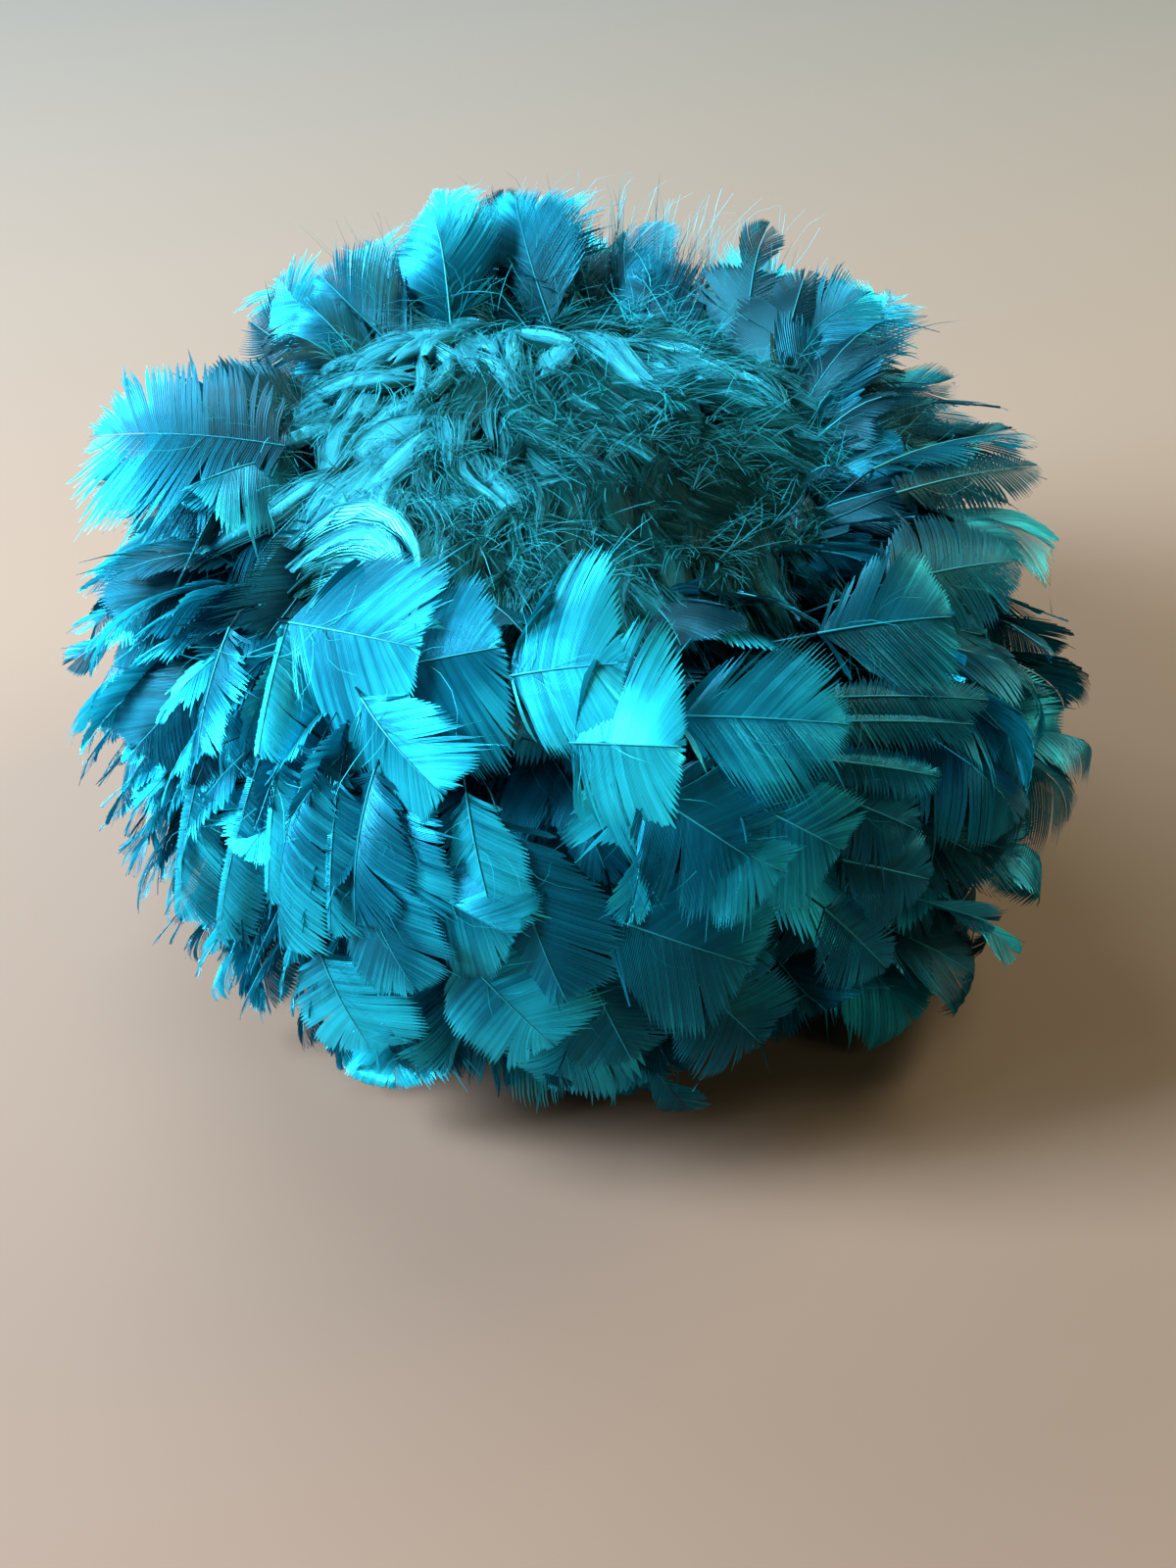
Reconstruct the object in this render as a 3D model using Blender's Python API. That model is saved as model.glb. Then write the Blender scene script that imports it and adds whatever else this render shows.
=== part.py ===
"""A feather cloche hat, standing on its rim.

A hollow felt cap carries rows of broad curved feathers. Each row is a narrow
tape round the cap with its feathers sewn into it, and the rows fan out from a
drooping hem to an upright collar. Small soft feathers lie in a whorl on the
crown. Metres, +Z up, origin on the floor under the middle of the hat, +Y
towards the wearer's face.
"""

import math
import random

import bpy

# The cap
HEAD_WIDTH = 0.166
HEAD_LENGTH = 0.198
CAP_WALL = 0.002
SIDE_HEIGHT = 0.128
SHOULDER_RADIUS = 0.028
CROWN_RISE = 0.006
CAP_SIDES = 24
SHOULDER_STEPS = 4

# What touches keeps this gap
GAP = 0.0003

# The tapes that carry the feathers
TAPE_WIDTH = 0.006
TAPE_THICKNESS = 0.0024
FIRST_TAPE = 0.036
TAPE_PITCH = 0.0151

# Every feather
QUILL_THICKNESS = 0.0014
CUPPING = 0.0024
SHINGLE_SLOPE = 0.17
ROOT_DEPTH = 0.0016
FIRST_ANGLE = math.radians(4)
YAW_MEAN = math.radians(6)
YAW_SPREAD = math.radians(3)
LENGTH_SPREAD = 0.08
LOWEST_TIP = 0.003
FRONT_REACH = 0.90  # reach at the front and back beside the reach at the sides

# Share of the length, half width beside the widest, how far the sides fall back
FEATHER_SECTIONS = (
    {"along": 0.00, "width": 0.16, "set_back": 0.00},
    {"along": 0.42, "width": 0.80, "set_back": 0.00},
    {"along": 0.76, "width": 1.00, "set_back": 0.00},
    {"along": 1.00, "width": 0.66, "set_back": 0.10},
)

# From the hem up: how far a row's tips stand out from its tape and above the
# floor, how far a feather bends down along its length, its width, and the count
ROWS = (
    {"name": "feather_row_1", "reach": 0.042, "tip": 0.007, "droop": 46, "width": 0.042, "count": 20},
    {"name": "feather_row_2", "reach": 0.057, "tip": 0.018, "droop": 58, "width": 0.046, "count": 20},
    {"name": "feather_row_3", "reach": 0.069, "tip": 0.036, "droop": 68, "width": 0.050, "count": 20},
    {"name": "feather_row_4", "reach": 0.077, "tip": 0.056, "droop": 74, "width": 0.052, "count": 20},
    {"name": "feather_row_5", "reach": 0.081, "tip": 0.078, "droop": 78, "width": 0.053, "count": 20},
    {"name": "feather_row_6", "reach": 0.081, "tip": 0.102, "droop": 78, "width": 0.053, "count": 20},
    {"name": "feather_row_7", "reach": 0.075, "tip": 0.128, "droop": 72, "width": 0.050, "count": 20},
    {"name": "feather_row_8", "reach": 0.061, "tip": 0.155, "droop": 60, "width": 0.046, "count": 18},
    {"name": "feather_collar", "reach": 0.042, "tip": 0.185, "droop": 40, "width": 0.043, "count": 16},
)

# The soft feathers on the crown, in rings from the edge inwards
PAD_RADIUS = 0.066
PAD_THICKNESS = 0.004
PAD_RINGS = 4
LOCK_RISE = 0.17
LOCK_RINGS = (
    {"radius": 0.051, "length": 0.034, "width": 0.019, "swirl": 44, "count": 16},
    {"radius": 0.034, "length": 0.034, "width": 0.018, "swirl": 58, "count": 10},
    {"radius": 0.015, "length": 0.028, "width": 0.015, "swirl": 70, "count": 6},
)

COLOURS = {
    "felt": {"rgb": (0.012, 0.090, 0.100), "roughness": 0.90},
    "vane": {"rgb": (0.010, 0.330, 0.420), "roughness": 0.50},
    "down": {"rgb": (0.030, 0.250, 0.280), "roughness": 0.70},
}

MEAN_RADIUS = (HEAD_WIDTH + HEAD_LENGTH) / 4 + CAP_WALL
WIDTH_SHARE = (HEAD_WIDTH / 2 + CAP_WALL) / MEAN_RADIUS
LENGTH_SHARE = (HEAD_LENGTH / 2 + CAP_WALL) / MEAN_RADIUS
TOP_RADIUS = MEAN_RADIUS - SHOULDER_RADIUS
SHOULDER_TOP = SIDE_HEIGHT + SHOULDER_RADIUS


def clear_scene():
    for old in list(bpy.data.objects):
        bpy.data.objects.remove(old)


def material(name):
    made = bpy.data.materials.get(name) or bpy.data.materials.new(name)
    made.use_nodes = True
    shader = made.node_tree.nodes["Principled BSDF"]
    shader.inputs["Base Color"].default_value = (*COLOURS[name]["rgb"], 1)
    shader.inputs["Roughness"].default_value = COLOURS[name]["roughness"]
    shader.inputs["Metallic"].default_value = 0
    return made


def new_object(name, points, faces, finish):
    mesh = bpy.data.meshes.new(name)
    mesh.from_pydata(points, [], faces)
    mesh.materials.append(material(finish))
    mesh.shade_smooth()
    mesh.set_sharp_from_angle(angle=math.radians(50))
    made = bpy.data.objects.new(name, mesh)
    bpy.context.scene.collection.objects.link(made)
    return made


def union_with(body, name, points, faces, finish):
    """Joins closed shapes, which are clear of each other, to body."""
    guide = new_object(name, points, faces, finish)
    guide.hide_render = True
    guide.display_type = "WIRE"
    join = body.modifiers.new("join", "BOOLEAN")
    join.operation = "UNION"
    join.object = guide


def cap_profile(distance):
    """Radius, height and outward direction on the cap's outer side, by the
    distance from the rim up the side and round the shoulder."""
    if distance <= SIDE_HEIGHT:
        return MEAN_RADIUS, distance, (1.0, 0.0)
    turn = min((distance - SIDE_HEIGHT) / SHOULDER_RADIUS, math.pi / 2)
    outward = (math.cos(turn), math.sin(turn))
    radius = TOP_RADIUS + SHOULDER_RADIUS * outward[0]
    return radius, SIDE_HEIGHT + SHOULDER_RADIUS * outward[1], outward


def crown_height(radius):
    """Height of the cap's shallow domed top, inside the shoulder."""
    return SHOULDER_TOP + CROWN_RISE * (1 - (radius / TOP_RADIUS) ** 2)


def oval(angle, radius, height):
    """A point on the hat's oval plan, where radius is the mean radius."""
    return (
        radius * WIDTH_SHARE * math.cos(angle),
        radius * LENGTH_SHARE * math.sin(angle),
        height,
    )


def ring_faces(rings, sides, closed):
    """Quads between rings of points, listed ring after ring."""
    faces = []
    for ring in range(rings if closed else rings - 1):
        low, high = ring * sides, (ring + 1) % rings * sides
        for side in range(sides):
            after = (side + 1) % sides
            faces.append((low + side, low + after, high + after, high + side))
    return faces


def turned(profile, sides, closed):
    """Points and faces of a profile of (radius, height) swept round the oval."""
    angles = [2 * math.pi * side / sides for side in range(sides)]
    points = [oval(angle, radius, height) for radius, height in profile for angle in angles]
    return points, ring_faces(len(profile), sides, closed)


def make_cap():
    """The hollow felt cap: outer side, rim and inner side as one wall."""
    outer = [(MEAN_RADIUS, 0.0), (MEAN_RADIUS, SIDE_HEIGHT / 2)]
    inner = [(MEAN_RADIUS - CAP_WALL, 0.0), (MEAN_RADIUS - CAP_WALL, SIDE_HEIGHT / 2)]
    for step in range(SHOULDER_STEPS + 1):
        distance = SIDE_HEIGHT + SHOULDER_RADIUS * math.pi / 2 * step / SHOULDER_STEPS
        radius, height, outward = cap_profile(distance)
        outer.append((radius, height))
        inner.append((radius - CAP_WALL * outward[0], height - CAP_WALL * outward[1]))
    half_top = TOP_RADIUS / 2
    outer.append((half_top, crown_height(half_top)))
    inner.append((half_top, crown_height(half_top) - CAP_WALL))
    profile = outer[::-1] + inner
    points, faces = turned(profile, CAP_SIDES, closed=False)
    faces = [face[::-1] for face in faces]
    top, under = len(points), len(points) + 1
    points += [(0, 0, crown_height(0)), (0, 0, crown_height(0) - CAP_WALL)]
    last = (len(profile) - 1) * CAP_SIDES
    for side in range(CAP_SIDES):
        after = (side + 1) % CAP_SIDES
        faces.append((top, side, after))
        faces.append((under, last + after, last + side))
    new_object("cap", points, faces, "felt")


def make_tape(name, distance):
    """A flat tape round the cap, lying along its side at that distance."""
    half = TAPE_WIDTH / 2
    near, far = [], []
    for end in (distance - half, distance + half):
        radius, height, outward = cap_profile(end)
        for lift, side in ((GAP, near), (GAP + TAPE_THICKNESS, far)):
            side.append((radius + lift * outward[0], height + lift * outward[1]))
    profile = [near[1], near[0], far[0], far[1]]
    points, faces = turned(profile, CAP_SIDES, closed=True)
    return new_object(name, points, faces, "vane")


def oval_radius(angle, radius):
    """Distance from the axis to the oval at this true angle."""
    across = math.cos(angle) / WIDTH_SHARE
    along = math.sin(angle) / LENGTH_SHARE
    return radius / math.hypot(across, along)


def feather_points(place, yaw, length, width, lean, cupping=CUPPING):
    """The closed blade of one feather. place turns a point that lies along the
    feather, aside and lifted off it into a point in space."""
    points = []
    for section in FEATHER_SECTIONS:
        half = width / 2 * section["width"]
        middle = section["along"] * length
        back = section["set_back"] * length
        thick = QUILL_THICKNESS / 2
        cup = cupping * section["width"] ** 2
        corners = (
            (middle - back * (1 + lean), -half, -cup),
            (middle, 0.0, thick),
            (middle - back * (1 - lean), half, -cup),
            (middle, 0.0, -thick),
        )
        for along, aside, lift in corners:
            turned_along = along * math.cos(yaw) - aside * math.sin(yaw)
            turned_aside = along * math.sin(yaw) + aside * math.cos(yaw)
            points.append(place(turned_along, turned_aside, lift + SHINGLE_SLOPE * aside))
    return points


def feather_faces(start):
    """The triangles of a blade whose points begin at start, its ends closed."""
    last = start + 4 * (len(FEATHER_SECTIONS) - 1)
    faces = [(start, start + 1, start + 3), (start + 1, start + 2, start + 3)]
    for low in range(start, last, 4):
        for corner in range(4):
            after = (corner + 1) % 4
            ends = (low + corner, low + after, low + after + 4, low + corner + 4)
            split = corner % 2
            faces.append((ends[split], ends[split + 2], ends[split + 1]))
            faces.append((ends[split], ends[split - 1], ends[split + 2]))
    faces += [(last, last + 3, last + 1), (last + 1, last + 3, last + 2)]
    return faces


def row_surface(row, distance):
    """The curved surface that a row's feathers lie in, as a function of the
    angle round the hat, the way along from the tape and the lift above it."""
    radius, height, outward = cap_profile(distance)
    out = GAP + TAPE_THICKNESS - ROOT_DEPTH
    root_radius = radius + out * outward[0]
    root_height = height + out * outward[1]
    droop = math.radians(row["droop"])
    rise = row["tip"] - root_height
    chord = math.hypot(row["reach"], rise)
    length = chord * (droop / 2) / math.sin(droop / 2)
    start = math.atan2(rise, row["reach"]) + droop / 2
    bend = droop / length

    def place(angle, along, lift):
        pitch = start - bend * along
        out_by = (math.sin(start) - math.sin(pitch)) / bend - lift * math.sin(pitch)
        up_by = (math.cos(pitch) - math.cos(start)) / bend + lift * math.cos(pitch)
        reach_share = 1 - (1 - FRONT_REACH) * math.sin(angle) ** 2
        far = oval_radius(angle, root_radius) + out_by * reach_share
        height_here = max(root_height + up_by, LOWEST_TIP)
        return far * math.cos(angle), far * math.sin(angle), height_here

    def round_hat(middle):
        def put(along, aside, lift):
            pitch = start - bend * along
            out_by = (math.sin(start) - math.sin(pitch)) / bend
            far = oval_radius(middle, root_radius) + out_by
            return place(middle + aside / far, along, lift)

        return put

    return round_hat, length


def make_row(index, row):
    """One tape with its feathers, each a little over its neighbour."""
    chance = random.Random(800 + index)
    distance = FIRST_TAPE + TAPE_PITCH * index
    tape = make_tape(row["name"], distance)
    round_hat, length = row_surface(row, distance)
    halves = {"over": ([], []), "under": ([], [])}
    for number in range(row["count"]):
        angle = FIRST_ANGLE + 2 * math.pi * (number + 0.5 * (index % 2)) / row["count"]
        yaw = YAW_MEAN + chance.uniform(-YAW_SPREAD, YAW_SPREAD)
        own_length = length * (1 + chance.uniform(-LENGTH_SPREAD, LENGTH_SPREAD))
        lean = chance.uniform(-0.8, 0.8)
        points, faces = halves["under" if number % 2 else "over"]
        faces += feather_faces(len(points))
        points += feather_points(round_hat(angle), yaw, own_length, row["width"], lean)
    for half, (points, faces) in halves.items():
        union_with(tape, f"{row['name']}_{half}", points, faces, "vane")


def make_pad():
    """The mat on the crown that the soft feathers are sewn to."""
    radii = [PAD_RADIUS * (ring + 1) / PAD_RINGS for ring in range(PAD_RINGS)]
    low = [(radius, min(crown_height(radius), crown_height(0)) + GAP) for radius in radii]
    high = [(radius, height + PAD_THICKNESS * (1 - (radius / PAD_RADIUS) ** 6 / 2)) for radius, height in low]
    points, faces = turned(low + high[::-1], CAP_SIDES, closed=False)
    under, top = len(points), len(points) + 1
    points += [(0, 0, crown_height(0) + GAP), (0, 0, crown_height(0) + GAP + PAD_THICKNESS)]
    last = (2 * PAD_RINGS - 1) * CAP_SIDES
    for side in range(CAP_SIDES):
        after = (side + 1) % CAP_SIDES
        faces.append((under, after, side))
        faces.append((top, last + side, last + after))
    return new_object("crown_feathers", points, faces, "down")


def lock_place(radius, angle, swirl):
    """Places a small feather that starts at this radius on the crown and sweeps
    round it, its tip a little raised."""
    heading = angle + math.radians(swirl)

    def put(along, aside, lift):
        x = radius * math.cos(angle) + along * math.cos(heading) - aside * math.sin(heading)
        y = radius * math.sin(angle) + along * math.sin(heading) + aside * math.cos(heading)
        away = math.hypot(x, y)
        base = crown_height(min(away, TOP_RADIUS)) + GAP + PAD_THICKNESS * 0.7
        return x * WIDTH_SHARE, y * LENGTH_SHARE, base + LOCK_RISE * along + lift

    return put


def make_crown():
    """The mat with its rings of small feathers sewn on."""
    chance = random.Random(7)
    mat = make_pad()
    for ring in LOCK_RINGS:
        halves = {"over": ([], []), "under": ([], [])}
        for number in range(ring["count"]):
            angle = 2 * math.pi * number / ring["count"] + chance.uniform(-0.1, 0.1)
            length = ring["length"] * chance.uniform(0.85, 1.1)
            yaw = chance.uniform(-0.25, 0.25)
            lean = chance.uniform(-0.8, 0.8)
            points, faces = halves["under" if number % 2 else "over"]
            faces += feather_faces(len(points))
            place = lock_place(ring["radius"], angle, ring["swirl"])
            points += feather_points(place, yaw, length, ring["width"], lean, cupping=0)
        for half, (points, faces) in halves.items():
            union_with(mat, f"crown_ring_{ring['count']}_{half}", points, faces, "down")


def main():
    clear_scene()
    make_cap()
    for index, row in enumerate(ROWS):
        make_row(index, row)
    make_crown()


main()
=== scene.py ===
"""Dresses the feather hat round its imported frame.

Each feather is built barb by barb, row by row up the cap, with soft hackles in
a whorl on the crown. Metres, +Z up, origin on the floor under the hat, the
camera looking along +Y.
"""

import math

import bpy
import numpy as np
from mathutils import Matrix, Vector


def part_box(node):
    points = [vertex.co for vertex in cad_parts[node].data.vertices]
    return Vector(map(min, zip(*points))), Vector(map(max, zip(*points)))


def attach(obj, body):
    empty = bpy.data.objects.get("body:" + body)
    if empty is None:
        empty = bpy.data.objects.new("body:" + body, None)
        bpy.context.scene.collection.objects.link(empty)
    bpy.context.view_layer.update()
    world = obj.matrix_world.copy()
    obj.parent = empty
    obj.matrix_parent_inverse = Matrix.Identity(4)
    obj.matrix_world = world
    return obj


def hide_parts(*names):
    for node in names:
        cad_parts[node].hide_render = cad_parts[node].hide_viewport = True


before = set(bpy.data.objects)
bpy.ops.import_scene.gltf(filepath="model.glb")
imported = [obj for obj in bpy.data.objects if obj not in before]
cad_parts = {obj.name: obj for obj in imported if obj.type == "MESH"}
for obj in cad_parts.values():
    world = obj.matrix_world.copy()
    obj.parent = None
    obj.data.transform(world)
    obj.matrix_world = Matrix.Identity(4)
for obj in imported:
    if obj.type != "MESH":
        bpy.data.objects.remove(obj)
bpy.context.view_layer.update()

# The cap, from its node, and the two sizes that its box doesn't give
HALF_WIDTH, HALF_LENGTH, CAP_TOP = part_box("cap")[1]
CAP_WALL = 0.002
SIDE_HEIGHT = 0.128
SHOULDER_RADIUS = 0.028
MEAN_RADIUS = (HALF_WIDTH + HALF_LENGTH) / 2
WIDTH_SHARE = HALF_WIDTH / MEAN_RADIUS
LENGTH_SHARE = HALF_LENGTH / MEAN_RADIUS
TOP_RADIUS = MEAN_RADIUS - SHOULDER_RADIUS
SHOULDER_TOP = SIDE_HEIGHT + SHOULDER_RADIUS
CAP_SIDES = 96

# The tapes, as the frame has them, and how far a feather's root lies inside one
TAPE_WIDTH = 0.006
TAPE_THICKNESS = 0.0024
FIRST_TAPE = 0.036
TAPE_PITCH = 0.0151
GAP = 0.0003
ROOT_INSET = 0.001

# How far out the feathers come, by height, and how much further to the front
# and back than to the sides
OUTLINE_HEIGHTS = (0.0, 0.015, 0.030, 0.050, 0.070, 0.100, 0.130, 0.150, 0.170, 0.185, 0.200)
OUTLINE_RADII = (0.123, 0.139, 0.155, 0.165, 0.169, 0.1715, 0.169, 0.163, 0.152, 0.140, 0.126)
OUTLINE_LENGTH = 1.04
OUTLINE_TOP = 0.1985
# Where the hem stands out further: its direction, by what share of the
# outline, up to what height, and how sharply that ends to both sides
HEM_CORNER = {"angle": 314, "more": 0.125, "height": 0.095, "power": 9}
# Where stray tips begin to be held back, and over what length: below the top,
# as shares of the outline, and above the floor
TOP_EASE = 0.010
EDGE_FROM = 0.92
EDGE_EASE = 0.09
FLOOR_FROM = 0.006
FLOOR_EASE = 0.0045
# The shares of the outline's radius where barbs begin to catch the light, and
# where they lie fully open to it; deeper in, their colour gets painted shade
DEEP = 0.66
OPEN = 0.97
# How a barb's painted light and shade is made up: its place on the vane, along the barb, openness
PAINTED_LIGHT_SHARES = (0.34, 0.28, 0.38)

# Camera
CAMERA_ELEVATION = math.radians(35)
CAMERA_DISTANCE = 0.85
CAMERA_AIM = (0.0075, 0.0, 0.032)
CAMERA_LENS = 57.5
SENSOR_HEIGHT = 36

# How a feather's barbs are divided along their length, from quill to edge
BARB_STEPS = np.array([0.0, 0.22, 0.45, 0.66, 0.84, 1.0])
DOWN_STEPS = np.array([0.0, 0.25, 0.5, 0.75, 1.0])
QUILL_SECTIONS = 8
ROD_SIDES = 4
# How far the barbs and the quill's upper side stand off the quill's own line,
# and half the width of loose strands and of the crown's sprays
QUILL_OFF = 0.0002
STRAND_HALF = 0.00014
SPRAY_HALF = 0.00017


def table(columns, rows):
    """A table's rows as records with named values."""
    return tuple(dict(zip(columns, row)) for row in rows)


# From the hem up. reach, tip and droop are the frame's: how far the tips stand
# out from the tape and above the floor, and how far a feather bends down.
# lean tilts a feather that lies along the row outwards.
ROWS = table(
    ("name", "reach", "tip", "droop", "lean", "count"),
    (
        ("feather_row_1", 0.042, 0.008, 50, 70, 24),
        ("feather_row_2", 0.057, 0.018, 66, 66, 24),
        ("feather_row_3", 0.069, 0.036, 80, 62, 25),
        ("feather_row_4", 0.077, 0.056, 88, 58, 25),
        ("feather_row_5", 0.081, 0.078, 92, 52, 25),
        ("feather_row_6", 0.081, 0.102, 90, 48, 24),
        ("feather_row_7", 0.075, 0.128, 80, 42, 23),
        ("feather_row_8", 0.061, 0.155, 64, 32, 25),
        ("feather_collar", 0.042, 0.185, 40, 12, 27),
    ),
)
# A row's layers from the cap out: their length beside the row's, their climb
# in degrees, how many more feathers they have, and whether they are plain
LAYERS = table(
    ("share", "pitch", "more", "plain"),
    ((0.62, -6, -4, True), (0.88, -4, 2, False), (1.00, 4, 2, False)),
)

# How the feathers lie by direction round the hat, in degrees: 0 is +X, 90 the
# back and 270 the front. After the direction come the turn round the hat at
# the hem and at the top, and the share of the row's droop at the hem and at
# the top.
LAY_ANGLES, TURN_LOW, TURN_HIGH, DROOP_LOW, DROOP_HIGH = zip(
    (0, 5, 12, 0.60, 0.80),
    (45, 10, 14, 0.80, 0.75),
    (90, 12, 16, 1.00, 0.70),
    (135, 10, 18, 1.00, 0.75),
    (180, 4, 22, 1.30, 1.00),
    (225, 6, 48, 1.30, 1.00),
    (270, 30, 74, 1.10, 1.00),
    (315, 42, 46, 0.50, 0.70),
    (360, 5, 12, 0.60, 0.80),
)
# How long the feathers are by direction, beside the row's own length, at the
# hem and at the top
REACH_ANGLES, REACH_LOW, REACH_HIGH = zip(
    *((0, 0.74, 0.80), (20, 0.88, 0.98), (45, 1.00, 1.10), (60, 0.94, 0.60)),
    *((76, 1.00, 1.14), (90, 1.00, 1.16), (108, 1.00, 1.14), (135, 0.98, 0.84)),
    *((155, 0.96, 0.90), (180, 0.90, 1.06), (205, 0.90, 0.94), (225, 1.02, 0.92)),
    *((248, 1.14, 0.92), (270, 0.80, 0.92), (290, 0.62, 0.90), (312, 1.44, 0.94)),
    *((335, 1.00, 0.76), (360, 0.60, 0.74)),
)
# The directions between which the feathers hang edge to edge like the leaves
# of a book: where that begins, is full, begins to end and has ended, how fast
# they turn on edge with the direction, and from where that is counted
LEAVES = (172, 187, 236, 250)
EDGE_TURN = 1.1
EDGE_ZERO = 168
# The middles of the left, front, back and right zones
ZONES = (195, 275, 90, 330)
# Narrow feathers among the leaves: the rows that have them, how many a row
# has, and the directions between which they grow
BLADES = {"rows": (1, 2, 3, 4, 5, 6), "count": 10, "from": 196, "to": 248}
# The first number of each kind's seeds
SHOWN_SEED = 90
BLADE_SEED = 70
CROWN_SEED = 50

FEATHER = {
    "length": 0.080,  # from the tape to the tip
    "bare": 0.36,  # share of the length before the vane begins
    "half_width": 0.030,
    "skew": (1.0, 1.0),  # how wide each side is beside that
    "tip_over": 0.005,  # how far the barbs reach past the quill's end
    "base_angle": 54,
    "tip_angle": 8,
    "sweep": 0.25,  # how far a barb bends towards the tip along its length
    "longest": 0.038,  # the longest barb
    "round": 0.12,  # how far the vane's corners fall back from its tip
    "fold": 0.10,  # how steeply the two sides fall from the quill
    "cup": 0.005,
    "droop": 60,
    "curl": 0,
    "twist": 0,
    "edge": 0,  # how far the vane is turned to stand on its edge
    "bow": 0.0,
    "barbs": 40,
    "group": (2, 13),
    "ruffle": 0.7,
    "lift": 0.0003,
    "pinch": 0.04,  # how far the barbs of a group close up at their ends
    "wave": 0.001,
    "waves": 3.0,
    "fray": 0.95,  # where along a barb its tip begins to taper
    "saw": 0.16,
    "stray": 0.07,  # share of barbs that stand out past the edge
    "splits": 1,
    "loose": 0.16,
    "quill": 0.00038,
    "tone": 0.5,
    "down": 12,
}
# What varies from feather to feather, as ranges: on every body feather, on a
# blunt one and on a pointed one, on a blade, and on one that shows its face
BODY_RANGES = {"cup": (0.001, 0.011), "fold": (-0.05, 0.28), "wave": (0.0, 0.0024), "waves": (1.5, 4.5)}
BLUNT_SHARE = 0.6
BLUNT_RANGES = {
    "round": (-0.15, 0.12),
    "tip_over": (0.001, 0.004),
    "base_angle": (42, 58),
    "sweep": (0.05, 0.3),
    "tip_angle": (6, 20),
    "saw": (0.12, 0.26),
}
POINTED_RANGES = {
    "round": (0.15, 0.42),
    "base_angle": (52, 66),
    "sweep": (0.25, 0.45),
    "saw": (0.03, 0.12),
}
BLADE_RANGES = {"wave": (0.001, 0.004), "waves": (3, 7), "saw": (0.1, 0.3), "tone": (0.15, 1.0)}
SHOWN_RANGES = {
    "base_angle": (52, 62),
    "sweep": (0.10, 0.22),
    "tip_angle": (10, 20),
    "round": (-0.10, 0.16),
    "droop": (14, 30),
    "cup": (0.002, 0.007),
    "fold": (0.02, 0.16),
    "saw": (0.14, 0.26),
    "wave": (0.0008, 0.0022),
}
RAGGED_RANGES = {"saw": (0.30, 0.50), "round": (-0.30, -0.05)}
RAGGED = {"group": (2, 7), "ruffle": 3.2, "pinch": 0.20, "splits": 5, "stray": 0.25, "quill": 0.00016}


def lerp(low, high, share):
    return low + (high - low) * share


def smooth(x):
    x = np.clip(x, 0, 1)
    return x * x * (3 - 2 * x)


def drawn(chance, ranges):
    """A value from each range, in their order."""
    return {name: chance.uniform(low, high) for name, (low, high) in ranges.items()}


def by_direction(degrees, level, angles, low, high):
    """A value that goes by the direction, between its hem and its top."""
    return lerp(np.interp(degrees, angles, low), np.interp(degrees, angles, high), level)


def barb_groups(chance, count, smallest, largest):
    """The group of each barb: neighbours that cling together."""
    group = np.zeros(count, int)
    start = 0
    number = 0
    while start < count:
        size = int(chance.integers(smallest, largest + 1))
        group[start : start + size] = number
        start += size
        number += 1
    return group


class Plumage:
    """Collects the mesh of one piece: points, quads, and each point's place on
    its feather and shade."""

    def __init__(self):
        self.points = []
        self.faces = []
        self.uvs = []
        self.shades = []
        self.slots = []
        self.total = 0

    def add(self, points, faces, shade, slot, uv=None):
        """points (n, 3), faces (m, 4) from 0, and each point's shade (4) and
        place (2), in the points' order."""
        self.points.append(points)
        self.faces.append(faces + self.total)
        self.uvs.append(np.zeros((len(points), 2)) if uv is None else uv.reshape(-1, 2))
        self.shades.append(shade.reshape(-1, 4))
        self.slots.append(np.full(len(faces), slot))
        self.total += len(points)

    def to_object(self, name, materials):
        points = np.concatenate(self.points).astype(np.float32)
        faces = np.concatenate(self.faces).astype(np.int32)
        uvs = np.concatenate(self.uvs).astype(np.float32)
        shades = np.concatenate(self.shades).astype(np.float32)
        slots = np.concatenate(self.slots).astype(np.int32)
        mesh = bpy.data.meshes.new(name)
        mesh.vertices.add(len(points))
        mesh.vertices.foreach_set("co", points.ravel())
        mesh.loops.add(faces.size)
        mesh.loops.foreach_set("vertex_index", faces.ravel())
        mesh.polygons.add(len(faces))
        mesh.polygons.foreach_set("loop_start", np.arange(0, faces.size, 4, dtype=np.int32))
        mesh.polygons.foreach_set("material_index", slots)
        mesh.polygons.foreach_set("use_smooth", np.ones(len(faces), bool))
        mesh.update(calc_edges=True)
        layer = mesh.uv_layers.new(name="barbs")
        layer.uv.foreach_set("vector", uvs[faces.ravel()].ravel())
        colours = mesh.color_attributes.new("shade", "FLOAT_COLOR", "POINT")
        colours.data.foreach_set("color", shades.ravel())
        for made in materials:
            mesh.materials.append(made)
        piece = bpy.data.objects.new(name, mesh)
        bpy.context.scene.collection.objects.link(piece)
        return piece


def strip_faces(strips, steps, flip=False):
    """Quads of strips whose points run step by step, left edge then right."""
    start = (np.arange(strips) * steps * 2)[:, None]
    step = (np.arange(steps - 1) * 2)[None, :]
    low = start + step
    quads = np.stack([low, low + 1, low + 3, low + 2], axis=-1).reshape(-1, 4)
    return quads[:, ::-1] if flip else quads


def tube_faces(rings, sides):
    """Quads from each ring of points to the next."""
    low = (np.arange(rings - 1) * sides)[:, None]
    side = np.arange(sides)[None, :]
    after = (side + 1) % sides
    quads = [low + side, low + sides + side, low + sides + after, low + after]
    return np.stack(quads, axis=-1).reshape(-1, 4)


def shades(shape, tone, own, along, light):
    """Each point's shade: its feather's tone, its barb's own shade, its share
    along the barb and its painted light, mostly how open it lies; the materials darken a point with
    painted shade where that is low."""
    shade = np.empty(shape + (4,))
    for channel, value in enumerate((tone, own, along, light)):
        shade[..., channel] = value
    return shade


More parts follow.
